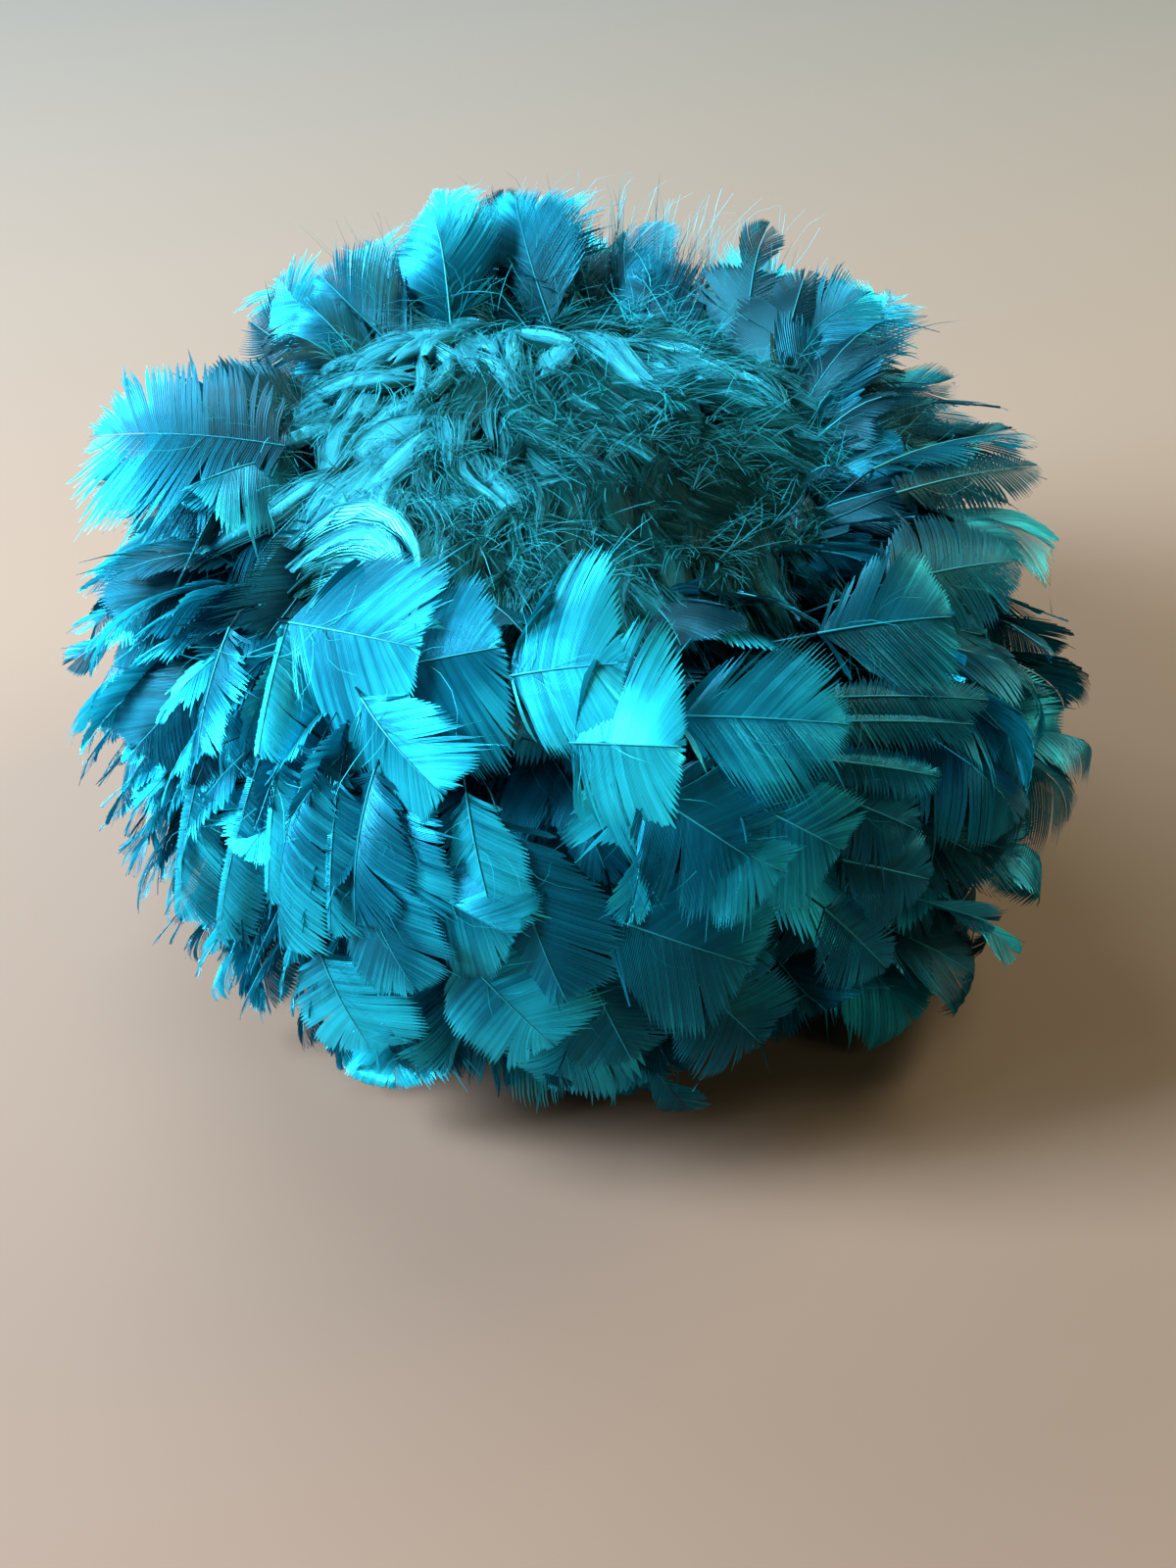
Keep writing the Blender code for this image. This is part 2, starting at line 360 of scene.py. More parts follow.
def strip_uvs(strips, along):
    """Each point's place across the strips, by their number, and along them."""
    uv = np.empty((strips, len(along), 2, 2))
    uv[..., 0] = (np.arange(strips)[:, None] + np.array([[0, 1]]))[:, None, :]
    uv[..., 1] = along[None, :, None]
    return uv


def ribbons(x, y, z, way, half, tilt=0.0):
    """Strands as narrow ribbons: the points of both edges, step by step."""
    edges = []
    for end in (1, -1):
        off = end * half
        edge = [x - off * np.sin(way), y + off * np.cos(way), z + off * tilt]
        edges.append(np.stack(edge, axis=-1))
    return np.stack(edges, axis=2).reshape(-1, 3)


def barb_paths(f, u, turn, trim, side):
    """Points along barbs that leave the quill at share u of the vane, in the
    flat feather. u, turn and trim have one shape; steps come last."""
    bare = f["bare"] * f["length"]
    quill_end = f["length"] - f["tip_over"]
    root = bare + (quill_end - bare) * u
    angle = np.radians(f["base_angle"] + (f["tip_angle"] - f["base_angle"]) * u**4)
    middles = (BARB_STEPS[1:] + BARB_STEPS[:-1]) / 2
    stretch = np.diff(BARB_STEPS)
    heading = angle[..., None] * (1 - f["sweep"] * middles)
    heading = heading + turn[..., None] * smooth(middles * 1.3)
    start = np.zeros(u.shape + (1,))
    ahead = np.concatenate([start, np.cumsum(np.cos(heading) * stretch, axis=-1)], axis=-1)
    aside = np.concatenate([start, np.cumsum(np.sin(heading) * stretch, axis=-1)], axis=-1)
    full = f["half_width"] * f["skew"][0 if side > 0 else 1]
    farthest = np.maximum(ahead[..., -1], 0.05)
    to_side = full / np.maximum(aside[..., -1], 0.05)
    longest = f["longest"] * (0.45 + 0.55 * smooth(u / 0.3))
    across = np.minimum(aside[..., -1] * to_side, aside[..., -1] * (f["length"] - root) / farthest)
    blunt = f["length"] * (1 - f["round"] * (across / full) ** 2)
    to_tip = np.maximum((blunt - root) / farthest, 0.0005)
    reach = (to_side**-7 + longest**-7 + to_tip**-7) ** (-1 / 7) * trim
    x = root[..., None] + ahead * reach[..., None]
    y = side * (QUILL_OFF + aside * reach[..., None])
    return np.stack([x, y], axis=-1)


def half_vane(chance, f, side):
    """One side of a feather's vane, flat apart from its cupping and ruffles:
    points (barbs, steps, 2, 3) and the shade of each barb."""
    count = f["barbs"]
    group = barb_groups(chance, count, *f["group"])
    groups = group[-1] + 1
    even = np.linspace(0, 1, count + 1)
    edges = 0.25 * even + 0.75 * np.sin(even * math.pi / 2)
    u = np.stack([edges[:-1], edges[1:]], axis=1)
    group_turn = np.radians(chance.normal(0, f["ruffle"], groups))
    for split in chance.integers(1, max(groups, 2), f["splits"]):
        opening = np.radians(chance.uniform(3, 8))
        group_turn[:split] += opening
        group_turn[split:] -= opening * 0.3
    group_lift = chance.normal(0, f["lift"], groups)
    group_u = np.array([(np.flatnonzero(group == g).mean() + 0.5) / count for g in range(groups)])
    cut = 0.10 + 0.90 * smooth((group_u - 0.45) / 0.3)
    group_trim = 1 - np.abs(chance.normal(0, f["saw"] * 0.5, groups)) * cut
    slant = f["saw"] * chance.uniform(-0.5, 1.8, groups) * cut
    group_slant = slant * chance.choice([-1, 1], p=[0.75, 0.25])
    loose = smooth(1 - u / max(f["loose"], 0.01))
    turn = group_turn[group][:, None] + loose * np.radians(chance.normal(0, 13, (count, 1)))
    first = np.searchsorted(group, np.arange(groups))
    sizes = np.bincount(group)
    place = np.arange(count)[:, None] + np.array([[0, 1]]) - first[group][:, None]
    place = place / sizes[group][:, None]
    trim = group_trim[group][:, None] * (1 + group_slant[group][:, None] * (place - 0.5))
    stray = chance.random((count, 1)) < f["stray"]
    trim = trim * (1 + chance.normal(0, 0.022, (count, 1)))
    trim = trim * np.where(stray, chance.uniform(1.08, 1.38, (count, 1)), 1)
    turn = turn + np.where(stray, np.radians(chance.normal(0, 7, (count, 1))), 0)
    flat = barb_paths(f, u, turn, trim, side)
    middle_u = (edges[first] + edges[first + sizes]) / 2
    centre = barb_paths(f, middle_u, group_turn, group_trim, side)
    pinch = chance.uniform(0.0, f["pinch"], groups)
    starts = chance.uniform(0.5, 0.9, groups)
    pull = pinch[:, None] * smooth((BARB_STEPS[None, :] - starts[:, None]) / (1 - starts[:, None]))
    flat = flat + (centre[group][:, None] - flat) * pull[group][:, None, :, None]
    own = flat.mean(axis=1, keepdims=True)
    fray = np.where(stray, 0.55, f["fray"])
    taper = 0.92 * smooth((BARB_STEPS - fray) / (1.001 - fray))
    flat = flat + (own - flat) * taper[:, None, :, None]
    rise = smooth(BARB_STEPS)[None, None, :]
    z = -f["cup"] * (flat[..., 1] / f["half_width"]) ** 2 - f["fold"] * np.abs(flat[..., 1])
    z = z + (group_lift[group][:, None, None] + chance.normal(0, 0.00008, (count, 1, 1))) * rise
    wave = np.sin(f["waves"] * math.pi * u + chance.uniform(0, 2 * math.pi))[..., None]
    z = z + f["wave"] * wave * (flat[..., 1] / f["half_width"]) ** 2
    z = z + (loose * chance.normal(0, 0.004, (count, 1)))[..., None] * rise
    z = z + np.array([0.00008, -0.00008])[None, :, None] * np.minimum(BARB_STEPS * 6, 1)[None, None, :]
    points = np.concatenate([flat, z[..., None]], axis=-1).transpose(0, 2, 1, 3)
    own_shade = chance.uniform(0, 1, (count, 1, 1)) * 0.6
    own_shade = own_shade + chance.uniform(0, 1, groups)[group][:, None, None] * 0.4
    middle = u.mean(axis=1)[:, None, None]
    shape = (count, len(BARB_STEPS), 2)
    shade = shades(shape, f["tone"], own_shade, BARB_STEPS[None, :, None], middle)
    return points, shade, strip_uvs(count, BARB_STEPS)


def down_strands(chance, f, lift=0.006):
    """Loose fluff at the foot of a feather, as fine tapered strands."""
    count = f["down"] * 2
    side = np.where(np.arange(count) % 2, 1, -1)
    root = chance.uniform(0.08, 0.42, count) * f["length"]
    heading = np.radians(chance.uniform(25, 95, count))
    size = chance.uniform(0.010, 0.024, count)
    bend = chance.uniform(-1.2, 0.9, count)
    rise = chance.uniform(-1, 1.3, count) * lift
    steps = DOWN_STEPS[None, :]
    way = heading[:, None] + bend[:, None] * steps
    x = root[:, None] + size[:, None] * steps * np.cos(way)
    y = side[:, None] * size[:, None] * steps * np.sin(way)
    z = rise[:, None] * smooth(steps) + chance.normal(0, 0.0008, x.shape) * steps
    half = STRAND_HALF * (1 - 0.85 * steps) * np.ones_like(x)
    left = np.stack([x - half * np.sin(way), y + side[:, None] * half * np.cos(way), z], axis=-1)
    right = np.stack([x + half * np.sin(way), y - side[:, None] * half * np.cos(way), z], axis=-1)
    points = np.stack([left, right], axis=2)
    own_shade = chance.uniform(0, 1, (count, 1, 1))
    return points, shades(points.shape[:3], f["tone"], own_shade, DOWN_STEPS[None, :, None], 0)


def quill(f):
    """The quill as a thin four-sided rod, and its faces."""
    along = np.linspace(0, f["length"] - f["tip_over"], QUILL_SECTIONS)
    half = np.linspace(f["quill"], f["quill"] * 0.35, QUILL_SECTIONS)
    corners = np.array([[1, 0], [0, 1], [-1, 0], [0, -1]])
    points = np.empty((QUILL_SECTIONS, ROD_SIDES, 3))
    points[..., 0] = along[:, None]
    points[..., 1] = half[:, None] * corners[None, :, 0]
    points[..., 2] = QUILL_OFF + half[:, None] * corners[None, :, 1]
    return points.reshape(-1, 3), tube_faces(QUILL_SECTIONS, ROD_SIDES)


def bent(points, f):
    """Bows, twists and droops flat feather points along the feather."""
    length = f["length"]
    share = points[..., 0] / length
    y = points[..., 1] + f["bow"] * share**2
    z = points[..., 2]
    turn = math.radians(f["twist"]) * share + math.radians(f["edge"]) * smooth(share / 0.4)
    y, z = y * np.cos(turn) - z * np.sin(turn), y * np.sin(turn) + z * np.cos(turn)
    grid = np.linspace(0, 1.6, 65)
    curl = math.radians(f["curl"]) * np.maximum(grid - 0.5, 0) ** 2 * 4
    pitch = -math.radians(f["droop"]) * grid - curl
    step = grid[1] * length
    ways = np.stack([np.cos(pitch), np.sin(pitch)])
    steps = (ways[:, 1:] + ways[:, :-1]) / 2 * step
    run, climb = np.concatenate([np.zeros((2, 1)), np.cumsum(steps, axis=1)], axis=1)
    tilt = np.interp(share, grid, pitch)
    x = np.interp(share, grid, run) - z * np.sin(tilt)
    z = np.interp(share, grid, climb) + z * np.cos(tilt)
    return np.stack([x, y, z], axis=-1)


def outline_radius(points):
    """The hat's outline at the points' heights, wider at the hem's corner."""
    near = np.cos(np.arctan2(points[:, 1], points[:, 0]) - math.radians(HEM_CORNER["angle"]))
    low = smooth(1 - points[:, 2] / HEM_CORNER["height"])
    corner = np.maximum(near, 0) ** HEM_CORNER["power"] * low
    radius = np.interp(points[:, 2], OUTLINE_HEIGHTS, OUTLINE_RADII)
    return radius * (1 + HEM_CORNER["more"] * corner)


def trimmed(points):
    """Keeps stray tips within the hat's outline, and off the floor."""
    height = points[:, 2]
    over = np.maximum(height - OUTLINE_TOP + TOP_EASE, 0)
    held = OUTLINE_TOP - TOP_EASE + TOP_EASE * np.tanh(over / TOP_EASE)
    points[:, 2] = np.where(over > 0, held, height)
    out = np.hypot(points[:, 0], points[:, 1] / OUTLINE_LENGTH) / outline_radius(points)
    over = np.maximum(out - EDGE_FROM, 0)
    held = np.where(over > 0, EDGE_FROM + EDGE_EASE * np.tanh(over / EDGE_EASE), out)
    points[:, :2] *= (held / np.maximum(out, 1e-6))[:, None]
    under = np.maximum(FLOOR_FROM - height, 0)
    points[:, 2] = np.where(under > 0, FLOOR_FROM - FLOOR_EASE * np.tanh(under / FLOOR_EASE), height)
    return points


def openness(points):
    """0 deep among the feathers, 1 at the hat's outline: the share of painted light, so that deep barbs
    get painted shade.
    """
    limit = np.interp(points[:, 2], OUTLINE_HEIGHTS, OUTLINE_RADII)
    out = np.hypot(points[:, 0], points[:, 1] / OUTLINE_LENGTH) / limit
    return smooth((out - DEEP) / (OPEN - DEEP))


def add_feather(plumage, chance, f, origin, axes):
    """Adds a feather whose root is at origin. axes are its directions: along
    the quill, aside and off its upper face."""

    def placed(points):
        return trimmed(bent(points.reshape(-1, 3), f) @ axes + origin)

    for side in (1, -1):
        points, shade, uv = half_vane(chance, f, side)
        faces = strip_faces(f["barbs"], len(BARB_STEPS), flip=side > 0)
        points = placed(points)
        shade = shade.reshape(-1, 4)
        # Painted light: barbs are darker, as painted shade, towards the quill's root, towards their own
        # roots and deep among the feathers
        light = PAINTED_LIGHT_SHARES[0] * shade[:, 3] + PAINTED_LIGHT_SHARES[1] * shade[:, 2]
        shade[:, 3] = light + PAINTED_LIGHT_SHARES[2] * openness(points)
        plumage.add(points, faces, shade, 0, uv)
    points, faces = quill(f)
    shade = np.tile([f["tone"], 0.5, 0.0, 0.5], (len(points), 1))
    plumage.add(placed(points), faces, shade, 1)
    if f["down"]:
        points, shade = down_strands(chance, f)
        faces = strip_faces(len(points), len(DOWN_STEPS))
        plumage.add(placed(points), faces, shade, 2)


def on_hat(place):
    """A point by its angle round the hat, radius and height in millimetres."""
    angle, radius, height = math.radians(place[0]), place[1] / 1000, place[2] / 1000
    return np.array([radius * math.cos(angle), radius * math.sin(angle), height])


def rod(path, half):
    """A thin four-sided rod along a path, and its faces."""
    ahead = np.gradient(path, axis=0)
    ahead /= np.linalg.norm(ahead, axis=1)[:, None]
    beside = np.cross(ahead, np.array([0.31, 0.17, 0.94]))
    beside /= np.linalg.norm(beside, axis=1)[:, None]
    over = np.cross(beside, ahead)
    ways = np.stack([beside, over, -beside, -over], axis=1)
    points = path[:, None, :] + ways * half
    return points.reshape(-1, 3), tube_faces(len(path), ROD_SIDES)


def add_shown(plumage, chance, show):
    """Adds one feather by the visible ends of its quill, with the stem that
    comes up to it from the row's tape."""
    base, tip = on_hat(show["from"]), on_hat(show["to"])
    along = (tip - base) / np.linalg.norm(tip - base)
    angle = math.radians((show["from"][0] + show["to"][0]) / 2 + show["turn"])
    face = math.radians(show["face"])
    up = np.array([math.cos(angle) * math.cos(face), math.sin(angle) * math.cos(face), math.sin(face)])
    up -= along * (up @ along)
    up /= np.linalg.norm(up)
    wide = (show["wide"][0] / 1000, show["wide"][1] / 1000)
    half_width = sum(wide) / 2
    f = dict(
        FEATHER,
        bare=0.0,
        length=float(np.linalg.norm(tip - base)) + FEATHER["tip_over"],
        half_width=half_width,
        skew=(wide[0] / half_width, wide[1] / half_width),
        longest=max(wide) * 1.25,
        tip_over=0.0015,
        fray=show["fray"],
        tone=show["tone"],
        barbs=48,
        loose=0.10,
        down=3,
    )
    f.update(drawn(chance, SHOWN_RANGES), splits=int(chance.integers(1, 4)))
    f["base_angle"] += show["fan"]
    f["sweep"] += show["fan"] / FAN_SWEEP
    if min(wide) < NARROW:
        f["quill"] = NARROW_QUILL
    if show["ragged"]:
        f.update(RAGGED, **drawn(chance, RAGGED_RANGES))
    half_droop = math.radians(f["droop"]) / 2
    lifted = along * math.cos(half_droop) + up * math.sin(half_droop)
    above = up * math.cos(half_droop) - along * math.sin(half_droop)
    add_feather(plumage, chance, f, base, np.array([lifted, np.cross(above, lifted), above]))
    radius, height, _ = tape_place(show["row"])
    root_angle = math.radians(show["from"][0] - STEM_TURN)
    root = on_tape(root_angle, radius, height)
    reach = np.linalg.norm(base - root) / 3
    first = root + np.array([math.cos(root_angle), math.sin(root_angle), 0.3]) * reach
    second = base - lifted * reach
    t = np.linspace(0, 1, STEM_SECTIONS)[:, None]
    path = root * (1 - t) ** 3 + 3 * first * t * (1 - t) ** 2
    path = path + 3 * second * t**2 * (1 - t) + base * t**3
    points, faces = rod(path, f["quill"])
    # The stem is painted in shade: the darkest tone and little painted light, deep among the feathers
    shade = np.tile([0.0, 0.2, 0.0, 0.2], (len(points), 1))
    plumage.add(points, faces, shade, 0)


def cap_profile(distance):
    """Radius, height and outward direction on the cap's outer side, by the
    distance from the rim up the side and round the shoulder."""
    if distance <= SIDE_HEIGHT:
        return MEAN_RADIUS, distance, (1.0, 0.0)
    turn = min((distance - SIDE_HEIGHT) / SHOULDER_RADIUS, math.pi / 2)
    outward = (math.cos(turn), math.sin(turn))
    radius = TOP_RADIUS + SHOULDER_RADIUS * outward[0]
    return radius, SIDE_HEIGHT + SHOULDER_RADIUS * outward[1], outward


def oval_radius(angle, radius):
    """Distance from the axis to the oval at this true angle."""
    return radius / math.hypot(math.cos(angle) / WIDTH_SHARE, math.sin(angle) / LENGTH_SHARE)


def on_tape(angle, radius, height):
    """A feather's root in its row's tape."""
    far = oval_radius(angle, radius) - ROOT_INSET
    return np.array([far * math.cos(angle), far * math.sin(angle), height])


def axes_of(angle, yaw, pitch, roll):
    """A feather's along, aside and up directions, by the angle round the hat,
    its turn within the row, its climb and its roll about its quill."""
    radial = np.array([math.cos(angle), math.sin(angle), 0])
    tangent = np.array([-math.sin(angle), math.cos(angle), 0])
    vertical = np.array([0, 0, 1.0])
    out = radial * math.cos(pitch) + vertical * math.sin(pitch)
    normal = -radial * math.sin(pitch) + vertical * math.cos(pitch)
    along = out * math.cos(yaw) + tangent * math.sin(yaw)
    aside = -out * math.sin(yaw) + tangent * math.cos(yaw)
    over = -aside * math.sin(roll) + normal * math.cos(roll)
    return np.array([along, aside * math.cos(roll) + normal * math.sin(roll), over])


def tape_place(index):
    """The tape's mean radius and height, and its outward direction."""
    radius, height, outward = cap_profile(FIRST_TAPE + TAPE_PITCH * index)
    return radius + TAPE_THICKNESS * outward[0], height + TAPE_THICKNESS * outward[1], outward


def row_start(index):
    """The tape's mean radius and height, and the pitch from a feather's root
    to its tip and its length."""
    row = ROWS[index]
    radius, height, _ = tape_place(index)
    rise = row["tip"] - height
    droop = math.radians(row["droop"])
    chord = math.hypot(row["reach"], rise)
    length = chord * (droop / 2) / math.sin(droop / 2)
    return radius, height, math.atan2(rise, row["reach"]), length


def tape_mesh(plumage, index):
    """The tape that the row is sewn to."""
    angles = np.linspace(0, 2 * math.pi, CAP_SIDES, endpoint=False)
    rings = []
    distance = FIRST_TAPE + TAPE_PITCH * index
    for end, lift in ((-1, 0.0), (-1, 1.0), (1, 1.0), (1, 0.0)):
        radius, height, outward = cap_profile(distance + end * TAPE_WIDTH / 2)
        radius += (GAP + TAPE_THICKNESS * lift) * outward[0]
        height += (GAP + TAPE_THICKNESS * lift) * outward[1]
        x, y = radius * WIDTH_SHARE * np.cos(angles), radius * LENGTH_SHARE * np.sin(angles)
        rings.append(np.stack([x, y, np.full(CAP_SIDES, height)], axis=-1))
    points = np.concatenate(rings)
    faces = tube_faces(len(rings) + 1, CAP_SIDES)[:, [0, 3, 2, 1]] % len(points)
    shade = np.tile([0.3, 0.5, 0.5, 0.5], (len(points), 1))
    plumage.add(points, faces, shade, 3)


# Feathers that lie on top and show their whole face. row is the one that each
# grows from. from and to are the visible ends of its quill, as direction round
# the hat in degrees, radius and height in millimetres. wide is the width of
# the vane above and below the quill in millimetres. face is how steeply it
# looks up, and turn how far it looks away from its own direction, in degrees.
# fray is where its barbs begin to taper, fan how many degrees further they
# open, and a ragged one has a torn edge.
SHOWN = table(
    ("row", "from", "to", "wide", "face", "turn", "fray", "tone", "fan", "ragged"),
    (
        (7, (264.5, 138, 163), (275.5, 139, 167), (38, 24), 42, -34, 0.8, 0.86, 28, False),
        (6, (271.0, 151, 151), (280.5, 157, 152), (36, 36), 34, -32, 0.8, 0.84, 30, False),
        (7, (281.8, 146, 154), (297.6, 159, 150), (32, 26), 46, 0, 0.58, 0.6, 0, False),
        (5, (277.6, 158, 141), (286.0, 171, 125), (26, 26), 30, 8, 0.95, 0.4, 0, False),
        (5, (282.2, 163, 130), (289.2, 175, 119), (20, 24), 26, 12, 0.97, 0.7, 0, False),
        (5, (287.0, 161, 136), (295.0, 174, 121), (17, 24), 34, 0, 0.95, 0.55, 0, False),
        (3, (273.4, 171, 109), (286.4, 178, 90), (32, 30), 30, 4, 0.94, 0.4, 0, False),
        (7, (301.5, 134, 162), (315.5, 147, 160), (26, 24), 48, -4, 0.96, 0.45, 0, False),
        (7, (236.5, 134, 164), (253.0, 138, 169), (26, 38), 40, -22, 0.95, 0.65, 14, False),
        (7, (250.0, 138, 160), (262.0, 135, 169), (22, 34), 34, -12, 0.94, 0.5, 24, False),
        (6, (249.0, 147, 156), (258.5, 163, 143), (16, 20), 30, -30, 0.95, 0.7, 0, False),
        (5, (261.2, 160, 140), (264.4, 175, 108), (14, 14), 26, -24, 0.97, 0.8, 0, False),
        (5, (252.0, 158, 142), (251.6, 174, 105), (16, 12), 24, -46, 0.95, 0.35, 0, False),
        (5, (254.0, 158, 140), (257.2, 174, 109), (13, 15), 26, -34, 0.96, 0.55, 0, False),
        (4, (264.5, 163, 134), (270.2, 177, 86), (24, 17), 24, -22, 0.94, 0.35, 0, False),
        (4, (250.6, 166, 120), (256.6, 179, 86), (20, 21), 22, -26, 0.96, 0.55, 0, False),
        (3, (256.8, 169, 116), (265.0, 177, 106), (15, 24), 24, -24, 0.93, 0.6, 0, False),
        (2, (261.2, 172, 94), (268.6, 178, 69), (22, 22), 20, -10, 0.82, 0.7, 22, False),
        (2, (247.0, 171, 85), (251.4, 176, 58), (22, 24), 18, -16, 0.8, 0.75, 22, False),
        (8, (193.0, 86, 170), (181.5, 142, 165), (34, 34), 54, 28, 0.72, 0.5, 18, True),
        (7, (236.2, 134, 163), (239.8, 160, 142), (14, 1.5), 35, 8, 0.95, 0.8, 0, False),
        (5, (239.5, 160, 137), (236.0, 174, 81), (12, 2), 24, 12, 0.94, 0.65, 0, False),
        (5, (241.6, 159, 138), (242.5, 174, 104), (13, 1.5), 28, 6, 0.95, 0.85, 0, False),
        (6, (245.5, 157, 143), (243.8, 175, 89), (14, 3), 24, -50, 0.96, 0.6, 0, False),
        (5, (248.4, 160, 137), (249.0, 175, 99), (12, 1.5), 24, -8, 0.95, 0.6, 0, False),
        (6, (229.4, 140, 159), (232.9, 163, 136), (12, 10), 40, -40, 0.9, 0.45, 0, False),
        (4, (232.7, 166, 124), (230.8, 174, 82), (14, 3), 24, 10, 0.9, 0.7, 0, False),
        (7, (312.0, 130, 166), (333.1, 145, 156), (22, 18), 50, 0, 0.92, 0.3, 0, False),
        (6, (293.0, 153, 150), (313.2, 163, 135), (9, 8), 50, 10, 0.5, 0.3, 0, False),
        (5, (293.6, 158, 142), (307.1, 168, 128), (9, 8), 42, 10, 0.55, 0.4, 0, False),
        (6, (298.3, 149, 152), (316.4, 161, 138), (8, 9), 54, 10, 0.5, 0.25, 0, False),
        (5, (295.3, 162, 133), (304.2, 171, 116), (15, 16), 30, 6, 0.9, 0.25, 0, False),
        (4, (297.0, 169, 112), (305.6, 174, 98), (16, 18), 24, 6, 0.8, 0.2, 0, False),
        (3, (295.2, 170, 98), (301.3, 174, 74), (17, 16), 20, 4, 0.8, 0.3, 0, False),
        (8, (334.1, 101, 175), (2.6, 139, 160), (11, 14), 58, -70, 0.6, 0.6, 0, False),
        (8, (330.4, 111, 173), (356.6, 144, 157), (9, 12), 56, -60, 0.7, 0.4, 0, False),
        (2, (272.5, 170, 88), (276.1, 173, 61), (20, 18), 18, 2, 0.9, 0.35, 0, False),
        (2, (281.8, 170, 85), (288.4, 172, 59), (20, 22), 18, 6, 0.85, 0.3, 0, False),
        (8, (110.1, 104, 167), (109.0, 125, 194), (15, 12), 40, 124, 0.62, 1.0, 0, True),
        (8, (92.9, 104, 164), (94.4, 122, 188), (9, 22), 42, 142, 0.62, 0.8, 0, True),
        (8, (123.3, 106, 160), (120.7, 130, 177), (18, 14), 44, 114, 0.62, 0.85, 0, True),
        (7, (40.1, 124, 139), (41.8, 147, 164), (18, 14), 40, 205, 0.62, 0.9, 0, True),
        (7, (52.6, 123, 153), (53.2, 137, 163), (15, 15), 44, 195, 0.62, 0.7, 0, True),
        (8, (137.2, 108, 160), (135.1, 135, 172), (18, 16), 50, 110, 0.62, 0.8, 0, True),
    ),
)
# By how many degrees of fan a barb's sweep grows by 1, how narrow a vane side
# has a finer quill, and how far round the hat a stem begins, in degrees
FAN_SWEEP = 130
NARROW = 0.005
NARROW_QUILL = 0.0002
STEM_TURN = 6
STEM_SECTIONS = 9


def facing(angle, degrees):
    """1 in this direction round the hat, falling to 0 at a quarter turn."""
    return max(math.cos(angle - math.radians(degrees)), 0.0)


def add_body_feather(plumage, chance, index, layer, angle):
    """Adds one feather of a row, with the lay and the look of its zone."""
    row = ROWS[index]
    radius, height, start, length = row_start(index)
    level = index / (len(ROWS) - 1)
    upper = smooth((level - 0.55) / 0.45)
    left, front, back, right = (facing(angle, way) for way in ZONES)
    degrees = math.degrees(angle) % 360
    turn_by = by_direction(degrees, level, LAY_ANGLES, TURN_LOW, TURN_HIGH)
    droop_by = by_direction(degrees, level, LAY_ANGLES, DROOP_LOW, DROOP_HIGH)
    long_by = by_direction(degrees, level, REACH_ANGLES, REACH_LOW, REACH_HIGH)
    leaf = smooth((degrees - LEAVES[0]) / (LEAVES[1] - LEAVES[0]))
    leaf *= 1 - smooth((degrees - LEAVES[2]) / (LEAVES[3] - LEAVES[2]))
    leaf *= 1 - smooth((level - 0.5) / 0.3)
    yaw = math.radians(np.clip(turn_by + chance.normal(0, 18), -30, 84))
    droop = row["droop"] * droop_by * chance.uniform(0.8, 1.15)
    flatter = (26 * front + 12 * left - 5 * back) * upper
    pressed = 14 * left * smooth((level - 0.2) / 0.4)
    climb = droop / 2 + layer["pitch"] - flatter - pressed + chance.normal(0, 9)
    roll = math.sin(yaw) * math.radians(row["lean"]) * 0.75 + math.radians(chance.normal(0, 18))
    spread = max(math.cos(yaw), 0.5) ** 0.5
    length = length * layer["share"] * long_by * chance.uniform(0.88, 1.06) / spread
    narrower = 0.78 + 0.22 * min(length / 0.08, 1)
    f = dict(
        FEATHER,
        droop=droop,
        length=length,
        half_width=chance.uniform(0.023, 0.032) * narrower * (1 - 0.16 * left),
        skew=(chance.uniform(0.8, 1.15) * (1 - 0.5 * leaf), chance.uniform(0.75, 1.1)),
        bare=float(np.clip(1 - chance.uniform(0.046, 0.060) / length, 0.06, 0.38)),
        curl=chance.normal(8, 24),
        twist=chance.normal(0, 22),
        edge=leaf * (EDGE_TURN * (degrees - EDGE_ZERO) + chance.normal(0, 8)),
        bow=chance.normal(0, 0.005),
    )
    f.update(drawn(chance, BODY_RANGES), longest=chance.uniform(0.030, 0.042) * (1 - 0.2 * leaf))
    f.update(drawn(chance, BLUNT_RANGES if chance.random() < BLUNT_SHARE else POINTED_RANGES))
    # Painted shade: the tone is lower to the right, away from the window light, and held lower there;
    # it is a little lower to the left too
    tone = chance.normal(0.47 - 0.04 * left - 0.20 * right**2, 0.30)
    frayed = chance.random() < 0.16 + 0.5 * back * upper + 0.45 * right**3
    f.update(
        tone=float(np.clip(tone, 0, 1 - 0.50 * right**2)),
        fray=chance.uniform(0.50, 0.80) if frayed else chance.uniform(0.93, 0.985),
        ruffle=chance.uniform(0.2, 1.1),
        splits=int(chance.choice([0, 1, 2, 3], p=[0.35, 0.35, 0.2, 0.1])),
    )
    if frayed:
        f["barbs"] = 56
        f["half_width"] *= 1 - 0.12 * right
    # The plain under-layer is painted darker, as shade beneath the outer layers
    if layer["plain"]:
        f.update(barbs=18, down=14, half_width=f["half_width"] * 1.2, tone=f["tone"] * 0.4)
    origin = on_tape(angle, radius, height)
    add_feather(plumage, chance, f, origin, axes_of(angle, yaw, start + math.radians(climb), roll))


